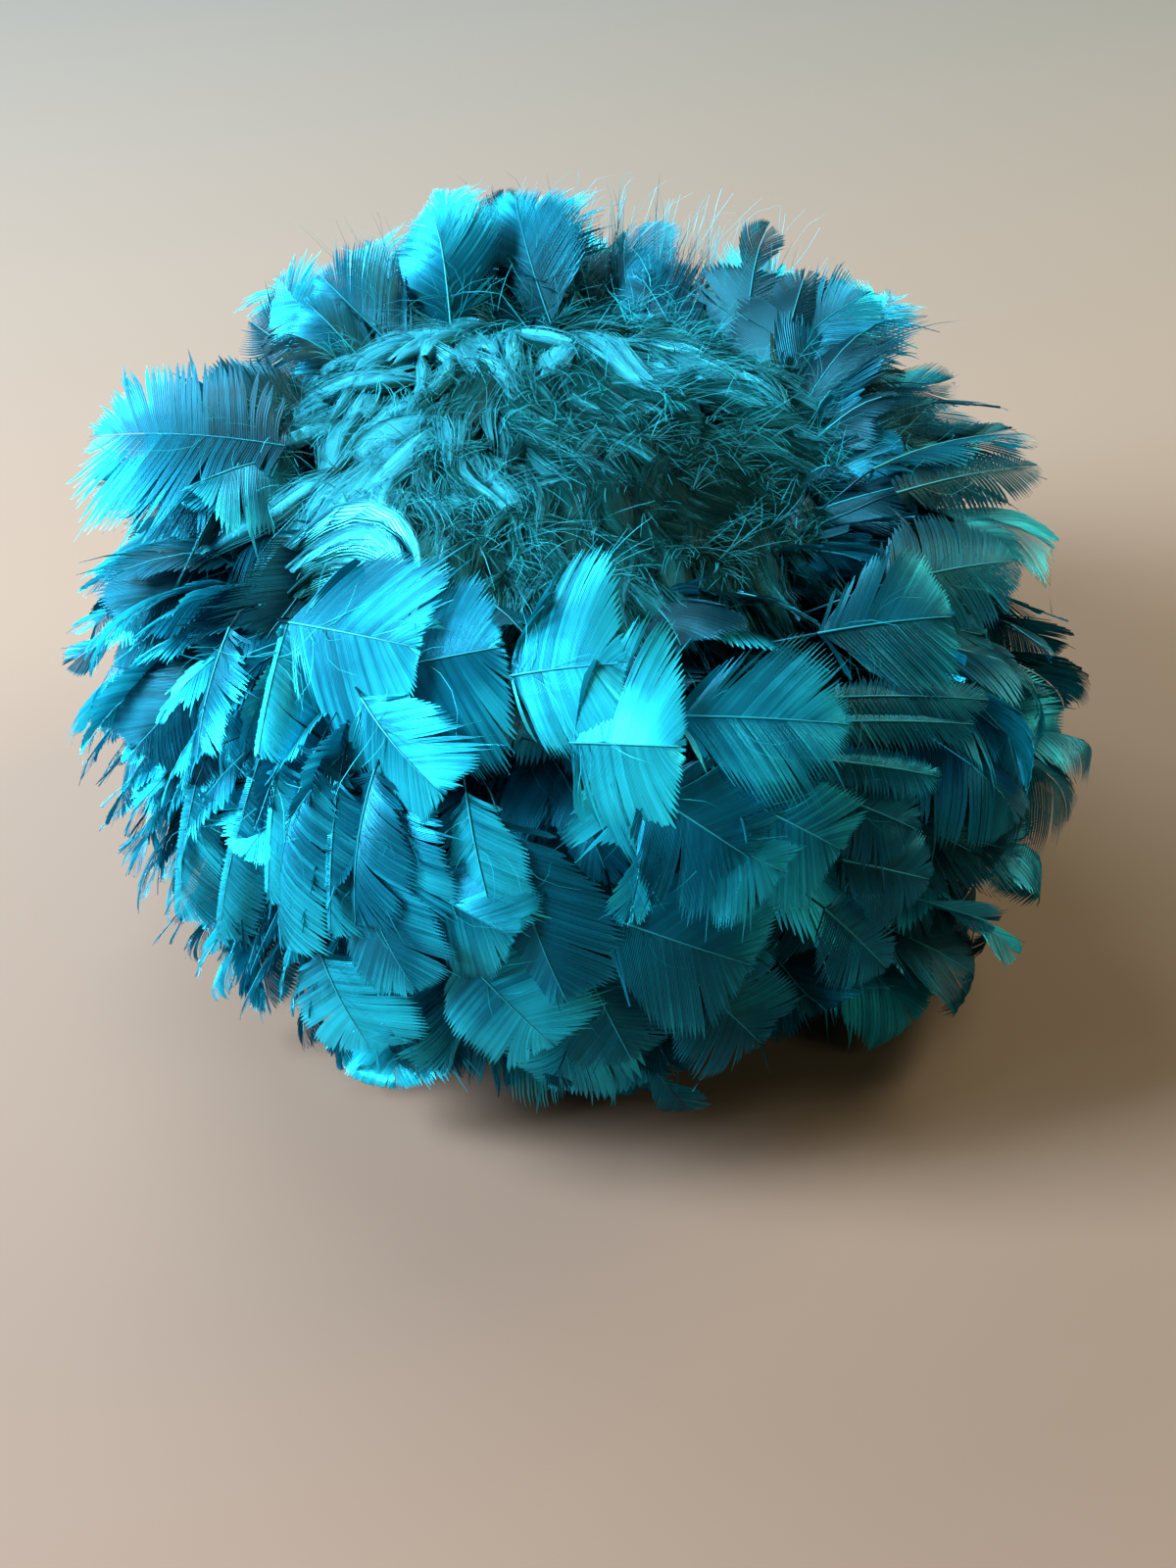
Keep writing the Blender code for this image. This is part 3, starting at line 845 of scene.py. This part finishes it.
def add_blade(plumage, chance, index, number):
    """Adds a narrow feather that hangs on edge among the leaves."""
    radius, height, start, length = row_start(index)
    degrees = lerp(BLADES["from"], BLADES["to"], (number + chance.uniform(0, 1)) / BLADES["count"])
    angle = math.radians(degrees)
    droop = ROWS[index]["droop"] * chance.uniform(1.1, 1.4)
    length = length * chance.uniform(0.80, 0.98) * (1 + 0.10 * smooth((degrees - 215) / 20))
    f = dict(
        FEATHER,
        droop=droop,
        length=length,
        bare=float(np.clip(1 - 0.056 / length, 0.06, 0.45)),
        half_width=chance.uniform(0.012, 0.020),
        skew=(chance.uniform(0.35, 0.75), chance.uniform(0.2, 0.6)),
        edge=EDGE_TURN * (degrees - EDGE_ZERO) + chance.normal(0, 14),
        twist=chance.normal(0, 14),
        curl=chance.normal(0, 20),
        bow=chance.normal(0, 0.006),
        barbs=34,
        down=6,
    )
    f.update(drawn(chance, BLADE_RANGES))
    pitch = start + math.radians(droop / 2 + 4 + chance.normal(0, 6))
    yaw, roll = math.radians(chance.normal(4, 9)), math.radians(chance.normal(0, 8))
    add_feather(plumage, chance, f, on_tape(angle, radius, height), axes_of(angle, yaw, pitch, roll))


def make_row(index, materials):
    row = ROWS[index]
    plumage = Plumage()
    tape_mesh(plumage, index)
    for order, layer in enumerate(LAYERS):
        count = row["count"] + layer["more"]
        for number in range(count):
            chance = np.random.default_rng([index, order, number])
            place = number + 0.5 * order + 0.31 * index + chance.uniform(-0.35, 0.35)
            add_body_feather(plumage, chance, index, layer, 2 * math.pi * place / count)
    if index in BLADES["rows"]:
        for number in range(BLADES["count"]):
            add_blade(plumage, np.random.default_rng([BLADE_SEED, index, number]), index, number)
    for number, show in enumerate(SHOWN):
        if show["row"] == index:
            add_shown(plumage, np.random.default_rng([SHOWN_SEED, number]), show)
    piece = plumage.to_object(row["name"] + "_plumes", materials)
    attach(piece, "root")
    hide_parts(row["name"])


# The soft crown: locks of hackle that flow from a parting at the back, each a
# thin sheet of barbs with loose strands along it
CROWN_PARTING = (-0.010, 0.090)
CROWN_RADIUS = 0.079
CROWN_LOCKS = 400
CROWN_TUFTS = 330
TUFT_RADIUS = 0.096
# Taller sprays at the back of the crown's rim: how many, between which
# directions, and how far out
RIM_WISPS = {"count": 110, "from": 46, "to": 124, "radius": (0.100, 0.116)}
LOCK_STEPS = 9
LOCK_COLUMNS = 7
LOCK_STRANDS = 14
LINE_PITCH = 0.0005
# Curls at the edge: where they begin, their first direction, turn, length,
# width and how high they arch
CROWN_CURLS = table(
    ("at", "heading", "turn", "length", "width", "lift"),
    (
        ((-0.090, -0.078), 48, -185, 0.088, 0.006, 0.016),
        ((-0.086, -0.084), 46, -190, 0.076, 0.008, 0.015),
        ((-0.082, -0.090), 42, -200, 0.062, 0.007, 0.014),
        ((-0.077, -0.095), 36, -205, 0.050, 0.008, 0.013),
        ((-0.073, -0.099), 30, -210, 0.036, 0.006, 0.012),
        ((-0.070, -0.103), 20, -160, 0.026, 0.012, 0.010),
        ((-0.020, -0.062), 230, 80, 0.040, 0.012, 0.007),
        ((0.034, -0.050), 300, -70, 0.036, 0.011, 0.007),
        ((-0.086, 0.035), 262, -16, 0.110, 0.004, 0.014),
    ),
)
CURL_DEEPER = 0.25
# The crown's relief: the swell's middle on Y, how far it lies from there to
# the sides and to the back, its width as a share of that, and its height; how
# high the left side stands; and the dip's place and size. The swell is also
# painted paler, as light, and the dip darker, as shade
RIDGE_MIDDLE = -0.015
RIDGE_REACH = (0.075, 0.068)
RIDGE_WIDTH = 0.25
RIDGE_HEIGHT = 0.0065
LEFT_HEIGHT = 0.0040
HOLLOW_AT = (0.050, -0.045)
HOLLOW_SIZE = (0.034, 0.042)


def crown_height(radius):
    """Height of the cap's domed top at this distance from its middle."""
    share = min(radius, TOP_RADIUS) / TOP_RADIUS
    return SHOULDER_TOP + (CAP_TOP - SHOULDER_TOP) * (1 - share**2)


def crown_ridge(x, y):
    """1 along the swell that runs round the back of the crown."""
    out = np.hypot(x / RIDGE_REACH[0], (y - RIDGE_MIDDLE) / RIDGE_REACH[1])
    return np.exp(-(((out - 1) / RIDGE_WIDTH) ** 2)) * smooth(y / 0.03)


def crown_hollow(x, y):
    """1 in the dip towards the right, which the crown's colours darken with painted shade."""
    off_x, off_y = (x - HOLLOW_AT[0]) / HOLLOW_SIZE[0], (y - HOLLOW_AT[1]) / HOLLOW_SIZE[1]
    return np.exp(-(off_x**2) - off_y**2)


def crown_surface(x, y):
    """What the locks lie on: the cap's top, and past it the feathers' roots."""
    out = np.hypot(x / WIDTH_SHARE, y / LENGTH_SHARE)
    top = CAP_TOP - 0.0065 * (out / 0.1) ** 2
    beyond = np.maximum(out - 0.090, 0)
    swell = RIDGE_HEIGHT * crown_ridge(x, y)
    swell = swell + LEFT_HEIGHT * smooth((-x - 0.01) / 0.05) * (1 - crown_hollow(x, y))
    fall = (0.15 + 0.2 * smooth(y / 0.04)) * beyond
    return top + swell * smooth((0.105 - out) / 0.02) - fall


def crown_painted_light(x, y):
    """Painted light and shade: paler to the left, towards the window light, and along the swell that
    catches it; darkest in the hollow, which lies in shade.
    """
    paler = 0.66 * crown_ridge(x, y) + 0.52 * smooth((-x - 0.005) / 0.05)
    return 0.18 + paler - 0.56 * crown_hollow(x, y)


def crown_heading(x, y):
    """Which way the locks lie here."""
    away = math.atan2(y - CROWN_PARTING[1], x - CROWN_PARTING[0])
    drift = 20 * math.sin(88 * x + 1.3) * math.cos(64 * y + 0.4) + 12 * math.sin(150 * y - 60 * x)
    return away + math.radians(12 + drift)


def beside(centre, heading, wide, share, offset):
    """Points in plan by their share along a path and their offset across it,
    and the path's direction there."""
    along = np.linspace(0, 1, len(centre))
    way = np.interp(share, along, heading)
    width = np.interp(share, along, wide)
    x = np.interp(share, along, centre[:, 0]) - offset * width * np.sin(way)
    y = np.interp(share, along, centre[:, 1]) + offset * width * np.cos(way)
    return x, y, way


def lock_swell(share, offset, lift):
    """How high a lock arches, along it and across it."""
    return lift * np.sin(math.pi * np.minimum(share * 0.92 + 0.06, 1)) ** 0.8 * (1 - 2.4 * offset**2)


def lay_sheet(plumage, chance, centre, heading, wide, tone, lift):
    """The body of a lock: a thin arched sheet with a ragged end."""
    steps = len(centre)
    along = np.linspace(0, 1, steps)[:, None]
    across = np.linspace(-0.5, 0.5, LOCK_COLUMNS)[None, :]
    share = along * (1 - chance.uniform(0.0, 0.28, (1, LOCK_COLUMNS)))
    x, y, _ = beside(centre, heading, wide, share, across)
    z = crown_surface(x, y) + 0.0010 + lock_swell(share, across, lift)
    z = z + chance.normal(0, 0.00035, (1, LOCK_COLUMNS)) * smooth(along * 3)
    number = np.arange(steps * LOCK_COLUMNS).reshape(steps, LOCK_COLUMNS)
    quads = [number[:-1, :-1], number[1:, :-1], number[1:, 1:], number[:-1, 1:]]
    faces = np.stack(quads, axis=-1).reshape(-1, 4)
    tones = np.clip(tone - 0.02 + chance.normal(0, 0.20, (1, LOCK_COLUMNS)), 0, 1)
    own_shade = chance.uniform(0, 1, (1, LOCK_COLUMNS))
    # Painted shade: darker at the lock's edges and root, where it tucks under its neighbours, and in
    # the hollow
    light = (1 - 3.6 * across**2) * (0.2 + 0.8 * smooth(along * 2.5))
    light = light * (1 - 0.8 * crown_hollow(x, y))
    shade = shades((steps, LOCK_COLUMNS), tones, own_shade, along, light)
    uv = np.empty((steps, LOCK_COLUMNS, 2))
    uv[..., 0] = chance.integers(0, 1000) + (across + 0.5) * max(wide) / LINE_PITCH
    uv[..., 1] = along * 2
    points = trimmed(np.stack([x, y, z], axis=-1).reshape(-1, 3))
    plumage.add(points, faces, shade, 0, uv)


def lay_strands(plumage, chance, centre, heading, wide, tone, lift):
    """Loose strands along a lock and at its end."""
    steps = len(centre)
    along = np.linspace(0, 1, steps)
    offset = chance.uniform(-0.5, 0.5, (LOCK_STRANDS, 1))
    offset = offset + np.cumsum(chance.normal(0, 0.035, (LOCK_STRANDS, steps)), axis=1)
    share = along[None, :] * chance.uniform(0.62, 1.0, (LOCK_STRANDS, 1))
    x, y, way = beside(centre, heading, wide, share, offset)
    z = crown_surface(x, y) + 0.0012 + lock_swell(share, np.clip(offset, -0.55, 0.55), lift)
    z = z + np.abs(chance.normal(0, 0.0005, (LOCK_STRANDS, 1))) * smooth(along * 2) * (1 + 2 * along)
    half = STRAND_HALF * (1 - 0.75 * smooth((along[None, :] - 0.6) / 0.4))
    points = ribbons(x, y, z, way, half, chance.normal(0, 0.3, (LOCK_STRANDS, 1)))
    # Painted shade: strands get less painted light towards their roots and in the hollow, and less
    # extra paleness there
    hollow = crown_hollow(x, y)[..., None]
    along_strand = along[None, :, None]
    tones = tone + chance.uniform(0.0, 0.42, (LOCK_STRANDS, 1, 1)) * (1 - 0.7 * hollow)
    own_shade = chance.uniform(0, 1, (LOCK_STRANDS, 1, 1))
    light = (0.5 + 0.5 * along_strand) * (1 - 0.6 * hollow)
    shade = shades((LOCK_STRANDS, steps, 2), np.clip(tones, 0, 1), own_shade, along_strand, light)
    faces = strip_faces(LOCK_STRANDS, steps, flip=True)
    plumage.add(trimmed(points), faces, shade, 0, strip_uvs(LOCK_STRANDS, along))


def add_lock(plumage, chance, x, y, length, width, lift, turn=None, heading=None):
    """Adds a lock of the crown, or a curl if it has a turn and a heading."""
    step = length / (LOCK_STEPS - 1)
    swing = math.radians(chance.uniform(2, 15))
    waves = chance.uniform(0.3, 1.0)
    phase = chance.uniform(0, 2 * math.pi)
    off = math.radians(chance.normal(0, 20))
    centre, ways = [], []
    for number in range(LOCK_STEPS):
        share = number / (LOCK_STEPS - 1)
        if turn is None:
            way = crown_heading(x, y) + off + swing * math.sin(2 * math.pi * waves * share + phase)
        else:
            way = math.radians(heading + turn * share)
        centre.append((x, y))
        ways.append(way)
        x += step * math.cos(way)
        y += step * math.sin(way)
    centre, ways = np.array(centre), np.unwrap(ways)
    along = np.linspace(0, 1, LOCK_STEPS)
    wide = width * (0.30 + 0.70 * smooth(along / 0.4)) * (1 - 0.65 * smooth((along - 0.5) / 0.5))
    deeper = CURL_DEEPER if heading is not None else 0.0
    # The tone carries the crown's painted light and shade, with a random part
    tone = crown_painted_light(*centre[LOCK_STEPS // 2]) - deeper + chance.normal(0, 0.20)
    for lay in (lay_sheet, lay_strands):
        lay(plumage, chance, centre, ways, wide, float(np.clip(tone, 0, 1)), lift)


def add_tuft(plumage, chance, x, y, upright=0.0):
    """A little spray of loose barbs that stands off the crown, or a taller one
    at its rim."""
    strands = int(chance.integers(5, 10))
    steps = len(DOWN_STEPS)
    toward = crown_heading(x, y) + chance.normal(0, 0.7)
    way = toward + chance.normal(0, 0.35, (strands, 1))
    way = way + chance.normal(0, 0.5, (strands, 1)) * DOWN_STEPS
    climb = chance.uniform(0.3, 1.1, (strands, 1))
    curl = chance.uniform(0.2, 1.3, (strands, 1)) * DOWN_STEPS
    climb = climb - curl * (1 - 0.8 * upright) + 0.5 * upright
    step = chance.uniform(0.006, 0.012 + 0.014 * chance.random() ** 2, (strands, 1))
    step = step * (1 + 1.2 * upright) / (steps - 1)
    ahead = np.cumsum(step * np.cos(climb) * np.cos(way), axis=1)
    aside = np.cumsum(step * np.cos(climb) * np.sin(way), axis=1)
    up = np.cumsum(step * np.sin(climb), axis=1)
    half = SPRAY_HALF * (1 - 0.8 * DOWN_STEPS)[None, :]
    points = ribbons(x + ahead, y + aside, crown_surface(x, y) + 0.005 + up, way, half)
    # Painted shade: sprays in the hollow are darker
    tone = chance.uniform(0.3, 0.9) * (1 - 0.85 * crown_hollow(x, y))
    own_shade = chance.uniform(0, 1, (strands, 1, 1))
    shade = shades((strands, steps, 2), tone, own_shade, DOWN_STEPS[None, :, None], 0.5)
    plumage.add(trimmed(points), strip_faces(strands, steps, flip=True), shade, 2)


def make_crown(materials):
    plumage = Plumage()
    chance = np.random.default_rng(CROWN_SEED)
    starts = []
    golden = math.pi * (3 - math.sqrt(5))
    for number in range(CROWN_LOCKS):
        out = CROWN_RADIUS * math.sqrt((number + 0.5) / CROWN_LOCKS)
        angle = number * golden
        starts.append((out * WIDTH_SHARE * math.cos(angle), out * LENGTH_SHARE * math.sin(angle)))
    far = [math.dist(start, CROWN_PARTING) for start in starts]
    for order in np.argsort(far)[::-1]:
        x, y = starts[order]
        x += chance.normal(0, 0.003)
        y += chance.normal(0, 0.003)
        out = math.hypot(x / WIDTH_SHARE, y / LENGTH_SHARE)
        behind = smooth((y - 0.02) / 0.04)
        shorter = 0.45 * smooth((out - 0.05) / 0.03) * (0.4 + 0.6 * behind)
        length = chance.uniform(0.036, 0.080) * (1 - shorter)
        lift = chance.uniform(0.0010, 0.0070)
        add_lock(plumage, chance, x, y, length, 0.004 + 0.013 * chance.random() ** 1.5, lift)
    for curl in CROWN_CURLS:
        shape = (curl[key] for key in ("length", "width", "lift", "turn", "heading"))
        add_lock(plumage, chance, *curl["at"], *shape)
    for _ in range(CROWN_TUFTS):
        out = TUFT_RADIUS * math.sqrt(chance.uniform(0, 1))
        angle = chance.uniform(0, 2 * math.pi)
        add_tuft(plumage, chance, out * math.cos(angle), out * math.sin(angle))
    for _ in range(RIM_WISPS["count"]):
        out = chance.uniform(*RIM_WISPS["radius"])
        angle = math.radians(chance.uniform(RIM_WISPS["from"], RIM_WISPS["to"]))
        add_tuft(plumage, chance, out * math.cos(angle), out * math.sin(angle), 1.0)
    piece = plumage.to_object("crown_hackles", materials)
    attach(piece, "root")
    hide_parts("crown_feathers")


def nodes_of(name):
    """A new material, its node tree and its shader."""
    made = bpy.data.materials.new(name)
    made.use_nodes = True
    tree = made.node_tree
    return made, tree, tree.nodes["Principled BSDF"]


def fill(tree, node, inputs):
    """Sets a node's inputs to values, or links them to other nodes' outputs."""
    for name, value in inputs.items():
        if isinstance(value, bpy.types.NodeSocket):
            tree.links.new(value, node.inputs[name])
        else:
            node.inputs[name].default_value = value
    return node


def add_node(tree, kind, inputs):
    return fill(tree, tree.nodes.new("ShaderNode" + kind), inputs)


def math_node(tree, operation, *values):
    node = add_node(tree, "Math", dict(enumerate(values)))
    node.operation = operation
    return node.outputs[0]


def ramp(tree, stops, value):
    """The colour between stops that goes by the value."""
    node = add_node(tree, "ValToRGB", {"Fac": value})
    while len(node.color_ramp.elements) < len(stops):
        node.color_ramp.elements.new(0.5)
    for element, (position, colour) in zip(node.color_ramp.elements, stops):
        element.position = position
        element.color = (*colour, 1)
    return node.outputs["Color"]


def own_place(tree):
    """Each point's place in its object's own frame."""
    return tree.nodes.new("ShaderNodeTexCoord").outputs["Object"]


# Where the dark, middle and bright colours of a feather lie on its scale of
# shades, and what that scale is made up of
SHADE_STOPS = (0.20, 0.50, 0.84)
TONE_SHARE = 0.54
OWN_SHARE = 0.18
PATCH_SHARE = 0.34
STREAK_SHARE = 0.20
# How much the painted shade darkens the scale
PAINTED_SHADE_SHARE = 0.50
# A wave texture of this scale has one band for every two barbs
BARB_WAVE = 1 / (2 * math.pi) * 10 / 2


def feather_material(name, colours, gloss, roughness, glow, lines=0.0, mirror=0.35):
    """Dyed barbs: the shade runs with the feather's tone, each barb's own
    shade and streaks along the barbs, less painted shade where a point's painted
    light is low, with a satin gloss in the dye's colour and some light passing through."""
    made, tree, shader = nodes_of(name)
    shade = tree.nodes.new("ShaderNodeVertexColor")
    shade.layer_name = "shade"
    parts = add_node(tree, "SeparateColor", {"Color": shade.outputs["Color"]}).outputs
    patches = add_node(tree, "TexNoise", {"Scale": 45, "Detail": 3, "Vector": own_place(tree)})
    barbs = tree.nodes.new("ShaderNodeUVMap")
    barbs.uv_map = "barbs"
    stretch = add_node(tree, "Mapping", {"Scale": (1.7, 0.8, 1), "Vector": barbs.outputs["UV"]})
    streaks = {"Scale": 1.0, "Detail": 2, "Vector": stretch.outputs["Vector"]}
    streaks = add_node(tree, "TexNoise", streaks)
    value = math_node(tree, "MULTIPLY", parts["Red"], TONE_SHARE)
    for source, share in (
        (parts["Green"], OWN_SHARE),
        (patches.outputs["Fac"], PATCH_SHARE),
        (streaks.outputs["Fac"], STREAK_SHARE),
    ):
        value = math_node(tree, "ADD", value, math_node(tree, "MULTIPLY", source, share))
    # Painted shade: darker where the point's painted light is low, or, without barb lines, towards the
    # barb's root
    foot = math_node(tree, "SUBTRACT", 1.0, shade.outputs["Alpha"] if lines else parts["Blue"])
    foot = math_node(tree, "POWER", foot, 1.4)
    value = math_node(tree, "SUBTRACT", value, math_node(tree, "MULTIPLY", foot, PAINTED_SHADE_SHARE))
    colour = ramp(tree, tuple(zip(SHADE_STOPS, colours)), value)
    fill(tree, shader, {"Base Color": colour, "Roughness": roughness, "Metallic": gloss})
    fill(tree, shader, {"Specular IOR Level": mirror, "Specular Tint": (0.2, 0.8, 1.0, 1)})
    if lines:
        wave = add_node(tree, "TexWave", {"Scale": BARB_WAVE, "Vector": barbs.outputs["UV"]})
        wave.bands_direction = "X"
        bump = {"Strength": lines, "Distance": 0.0002, "Height": wave.outputs["Fac"]}
        fill(tree, shader, {"Normal": add_node(tree, "Bump", bump).outputs["Normal"]})
    through = add_node(tree, "BsdfTranslucent", {"Color": colour})
    mix = {"Fac": glow, 1: shader.outputs["BSDF"], 2: through.outputs["BSDF"]}
    mix = add_node(tree, "MixShader", mix)
    fill(tree, tree.nodes["Material Output"], {"Surface": mix.outputs["Shader"]})
    return made


def felt_material():
    """Wool felt: fine and coarse mottling in the feathers' darkest colour."""
    made, tree, shader = nodes_of("wool_felt")
    place = own_place(tree)
    fine = add_node(tree, "TexNoise", {"Scale": 900, "Detail": 4, "Vector": place}).outputs["Fac"]
    coarse = add_node(tree, "TexNoise", {"Scale": 45, "Vector": place}).outputs["Fac"]
    value = math_node(tree, "MULTIPLY", fine, 0.6)
    value = math_node(tree, "ADD", value, math_node(tree, "MULTIPLY", coarse, 0.4))
    colour = ramp(tree, ((0.3, (0.002, 0.025, 0.031)), (0.7, (0.005, 0.06, 0.072))), value)
    fill(tree, shader, {"Base Color": colour, "Roughness": 0.92, "Specular IOR Level": 0.15})
    fill(tree, shader, {"Sheen Weight": 0.25, "Sheen Tint": (0.4, 0.9, 1.0, 1)})
    bump = add_node(tree, "Bump", {"Strength": 0.35, "Distance": 0.0006, "Height": fine})
    fill(tree, shader, {"Normal": bump.outputs["Normal"]})
    return made


CAP_STEPS = 8
CAP_EDGE = 0.0004
TOP_SHARES = (0.8, 0.6, 0.4, 0.2, 0.02)


def make_cap(felt):
    """The felt cap with a smooth wall, turned edge and domed top."""
    outer = [(MEAN_RADIUS - CAP_EDGE, 0.0), (MEAN_RADIUS, CAP_EDGE)]
    inner = [(MEAN_RADIUS - CAP_WALL + CAP_EDGE, 0.0), (MEAN_RADIUS - CAP_WALL, CAP_EDGE)]
    steps = range(1, CAP_STEPS + 1)
    for step in steps:
        outer.append((MEAN_RADIUS, SIDE_HEIGHT * step / CAP_STEPS))
        inner.append((MEAN_RADIUS - CAP_WALL, SIDE_HEIGHT * step / CAP_STEPS))
    for step in steps:
        distance = SIDE_HEIGHT + SHOULDER_RADIUS * math.pi / 2 * step / CAP_STEPS
        radius, height, outward = cap_profile(distance)
        outer.append((radius, height))
        inner.append((radius - CAP_WALL * outward[0], height - CAP_WALL * outward[1]))
    for share in TOP_SHARES:
        outer.append((TOP_RADIUS * share, crown_height(TOP_RADIUS * share)))
        inner.append((TOP_RADIUS * share, crown_height(TOP_RADIUS * share) - CAP_WALL))
    profile = outer[::-1] + inner
    angles = np.linspace(0, 2 * math.pi, CAP_SIDES, endpoint=False)
    points = []
    for radius, height in profile:
        wide, long = radius * WIDTH_SHARE, radius * LENGTH_SHARE
        points += [(wide * math.cos(a), long * math.sin(a), height) for a in angles]
    faces = tube_faces(len(profile), CAP_SIDES).tolist()
    last = (len(profile) - 1) * CAP_SIDES
    faces.append(tuple(range(CAP_SIDES)))
    faces.append(tuple(last + side for side in reversed(range(CAP_SIDES))))
    mesh = bpy.data.meshes.new("felt_cap")
    mesh.from_pydata(points, [], faces)
    mesh.shade_smooth()
    mesh.materials.append(felt)
    piece = bpy.data.objects.new("felt_cap", mesh)
    bpy.context.scene.collection.objects.link(piece)
    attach(piece, "root")
    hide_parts("cap")


FLOOR_HALF = 7.0
FLOOR_LEVEL = -0.0005
# The floor's colour from the near side to the far side, by its scale and start
FLOOR_SCALE = 0.55
FLOOR_START = 0.4
FLOOR_STOPS = (
    (0.0, (0.098, 0.054, 0.035)),
    (0.5, (0.172, 0.126, 0.095)),
    (1.0, (0.142, 0.143, 0.134)),
)


def make_floor():
    mesh = bpy.data.meshes.new("floor")
    corners = ((-1, -1), (1, -1), (1, 1), (-1, 1))
    points = [(x * FLOOR_HALF, y * FLOOR_HALF, FLOOR_LEVEL) for x, y in corners]
    mesh.from_pydata(points, [], [(0, 1, 2, 3)])
    made, tree, shader = nodes_of("pale_floor")
    place = add_node(tree, "SeparateXYZ", {0: own_place(tree)})
    along = math_node(tree, "MULTIPLY_ADD", place.outputs["Y"], FLOOR_SCALE, FLOOR_START)
    fill(tree, shader, {"Base Color": ramp(tree, FLOOR_STOPS, along), "Roughness": 0.8})
    mesh.materials.append(made)
    floor = bpy.data.objects.new("floor", mesh)
    bpy.context.scene.collection.objects.link(floor)


LIGHTS = table(
    ("name", "at", "size", "watts", "colour"),
    (
        ("window", (-1.30, -0.38, 1.02), (0.6, 0.8), 144, (0.77, 0.90, 1.0)),
        ("sky", (-0.7, 1.1, 1.3), (1.2, 0.7), 39, (0.84, 0.94, 1.0)),
        ("lamp", (1.6, -1.0, 1.0), (0.8, 0.8), 5, (1.0, 0.92, 0.50)),
        ("bounce", (1.25, 0.75, 1.15), (0.9, 0.9), 34, (1.0, 0.87, 0.57)),
    ),
)
LIGHT_AIM = (0, 0, 0.09)
ROOM_COLOUR = (0.80, 0.84, 0.72, 1)
ROOM_STRENGTH = 0.08


def make_lights():
    for spec in LIGHTS:
        data = bpy.data.lights.new(spec["name"], "AREA")
        data.shape = "RECTANGLE"
        data.size, data.size_y = spec["size"]
        data.energy = spec["watts"]
        data.color = spec["colour"]
        light = bpy.data.objects.new(spec["name"], data)
        light.location = spec["at"]
        aim = Vector(LIGHT_AIM) - light.location
        light.rotation_euler = aim.to_track_quat("-Z", "Y").to_euler()
        bpy.context.scene.collection.objects.link(light)
    world = bpy.data.worlds.new("soft_room")
    world.use_nodes = True
    room = world.node_tree.nodes["Background"]
    fill(world.node_tree, room, {"Color": ROOM_COLOUR, "Strength": ROOM_STRENGTH})
    bpy.context.scene.world = world


def make_camera():
    data = bpy.data.cameras.new("camera")
    data.lens = CAMERA_LENS
    data.sensor_fit = "VERTICAL"
    data.sensor_height = SENSOR_HEIGHT
    camera = bpy.data.objects.new("camera", data)
    back = Vector((0, -math.cos(CAMERA_ELEVATION), math.sin(CAMERA_ELEVATION)))
    camera.location = Vector(CAMERA_AIM) + back * CAMERA_DISTANCE
    camera.rotation_euler = (-back).to_track_quat("-Z", "Y").to_euler()
    bpy.context.scene.collection.objects.link(camera)
    bpy.context.scene.camera = camera
    bpy.context.scene.view_settings.view_transform = "Standard"

# Each feather material's dark, middle and bright colours, then its gloss,
# roughness and the light it lets through
VANE = (((0.001, 0.028, 0.044), (0.002, 0.146, 0.238), (0.024, 0.76, 0.98)), 0.48, 0.34, 0.20)
QUILL = (((0.01, 0.24, 0.31), (0.03, 0.40, 0.48), (0.08, 0.65, 0.72)), 0.1, 0.40, 0.10)
DOWN = (((0.001, 0.05, 0.055), (0.006, 0.24, 0.30), (0.02, 0.52, 0.66)), 0.2, 0.50, 0.20)
HACKLE = (((0.0004, 0.012, 0.009), (0.003, 0.082, 0.092), (0.05, 0.58, 0.80)), 0.42, 0.30, 0.06)


def main():
    make_camera()
    make_floor()
    make_lights()
    felt = felt_material()
    vane = feather_material("dyed_vane", *VANE, lines=0.5)
    rib = feather_material("quill", *QUILL)
    down = feather_material("dyed_down", *DOWN, mirror=0.15)
    hackle = feather_material("dyed_hackle", *HACKLE, lines=1.0, mirror=0.12)
    for index in range(len(ROWS)):
        make_row(index, (vane, rib, down, felt))
    make_crown((hackle, rib, down, felt))
    make_cap(felt)


main()
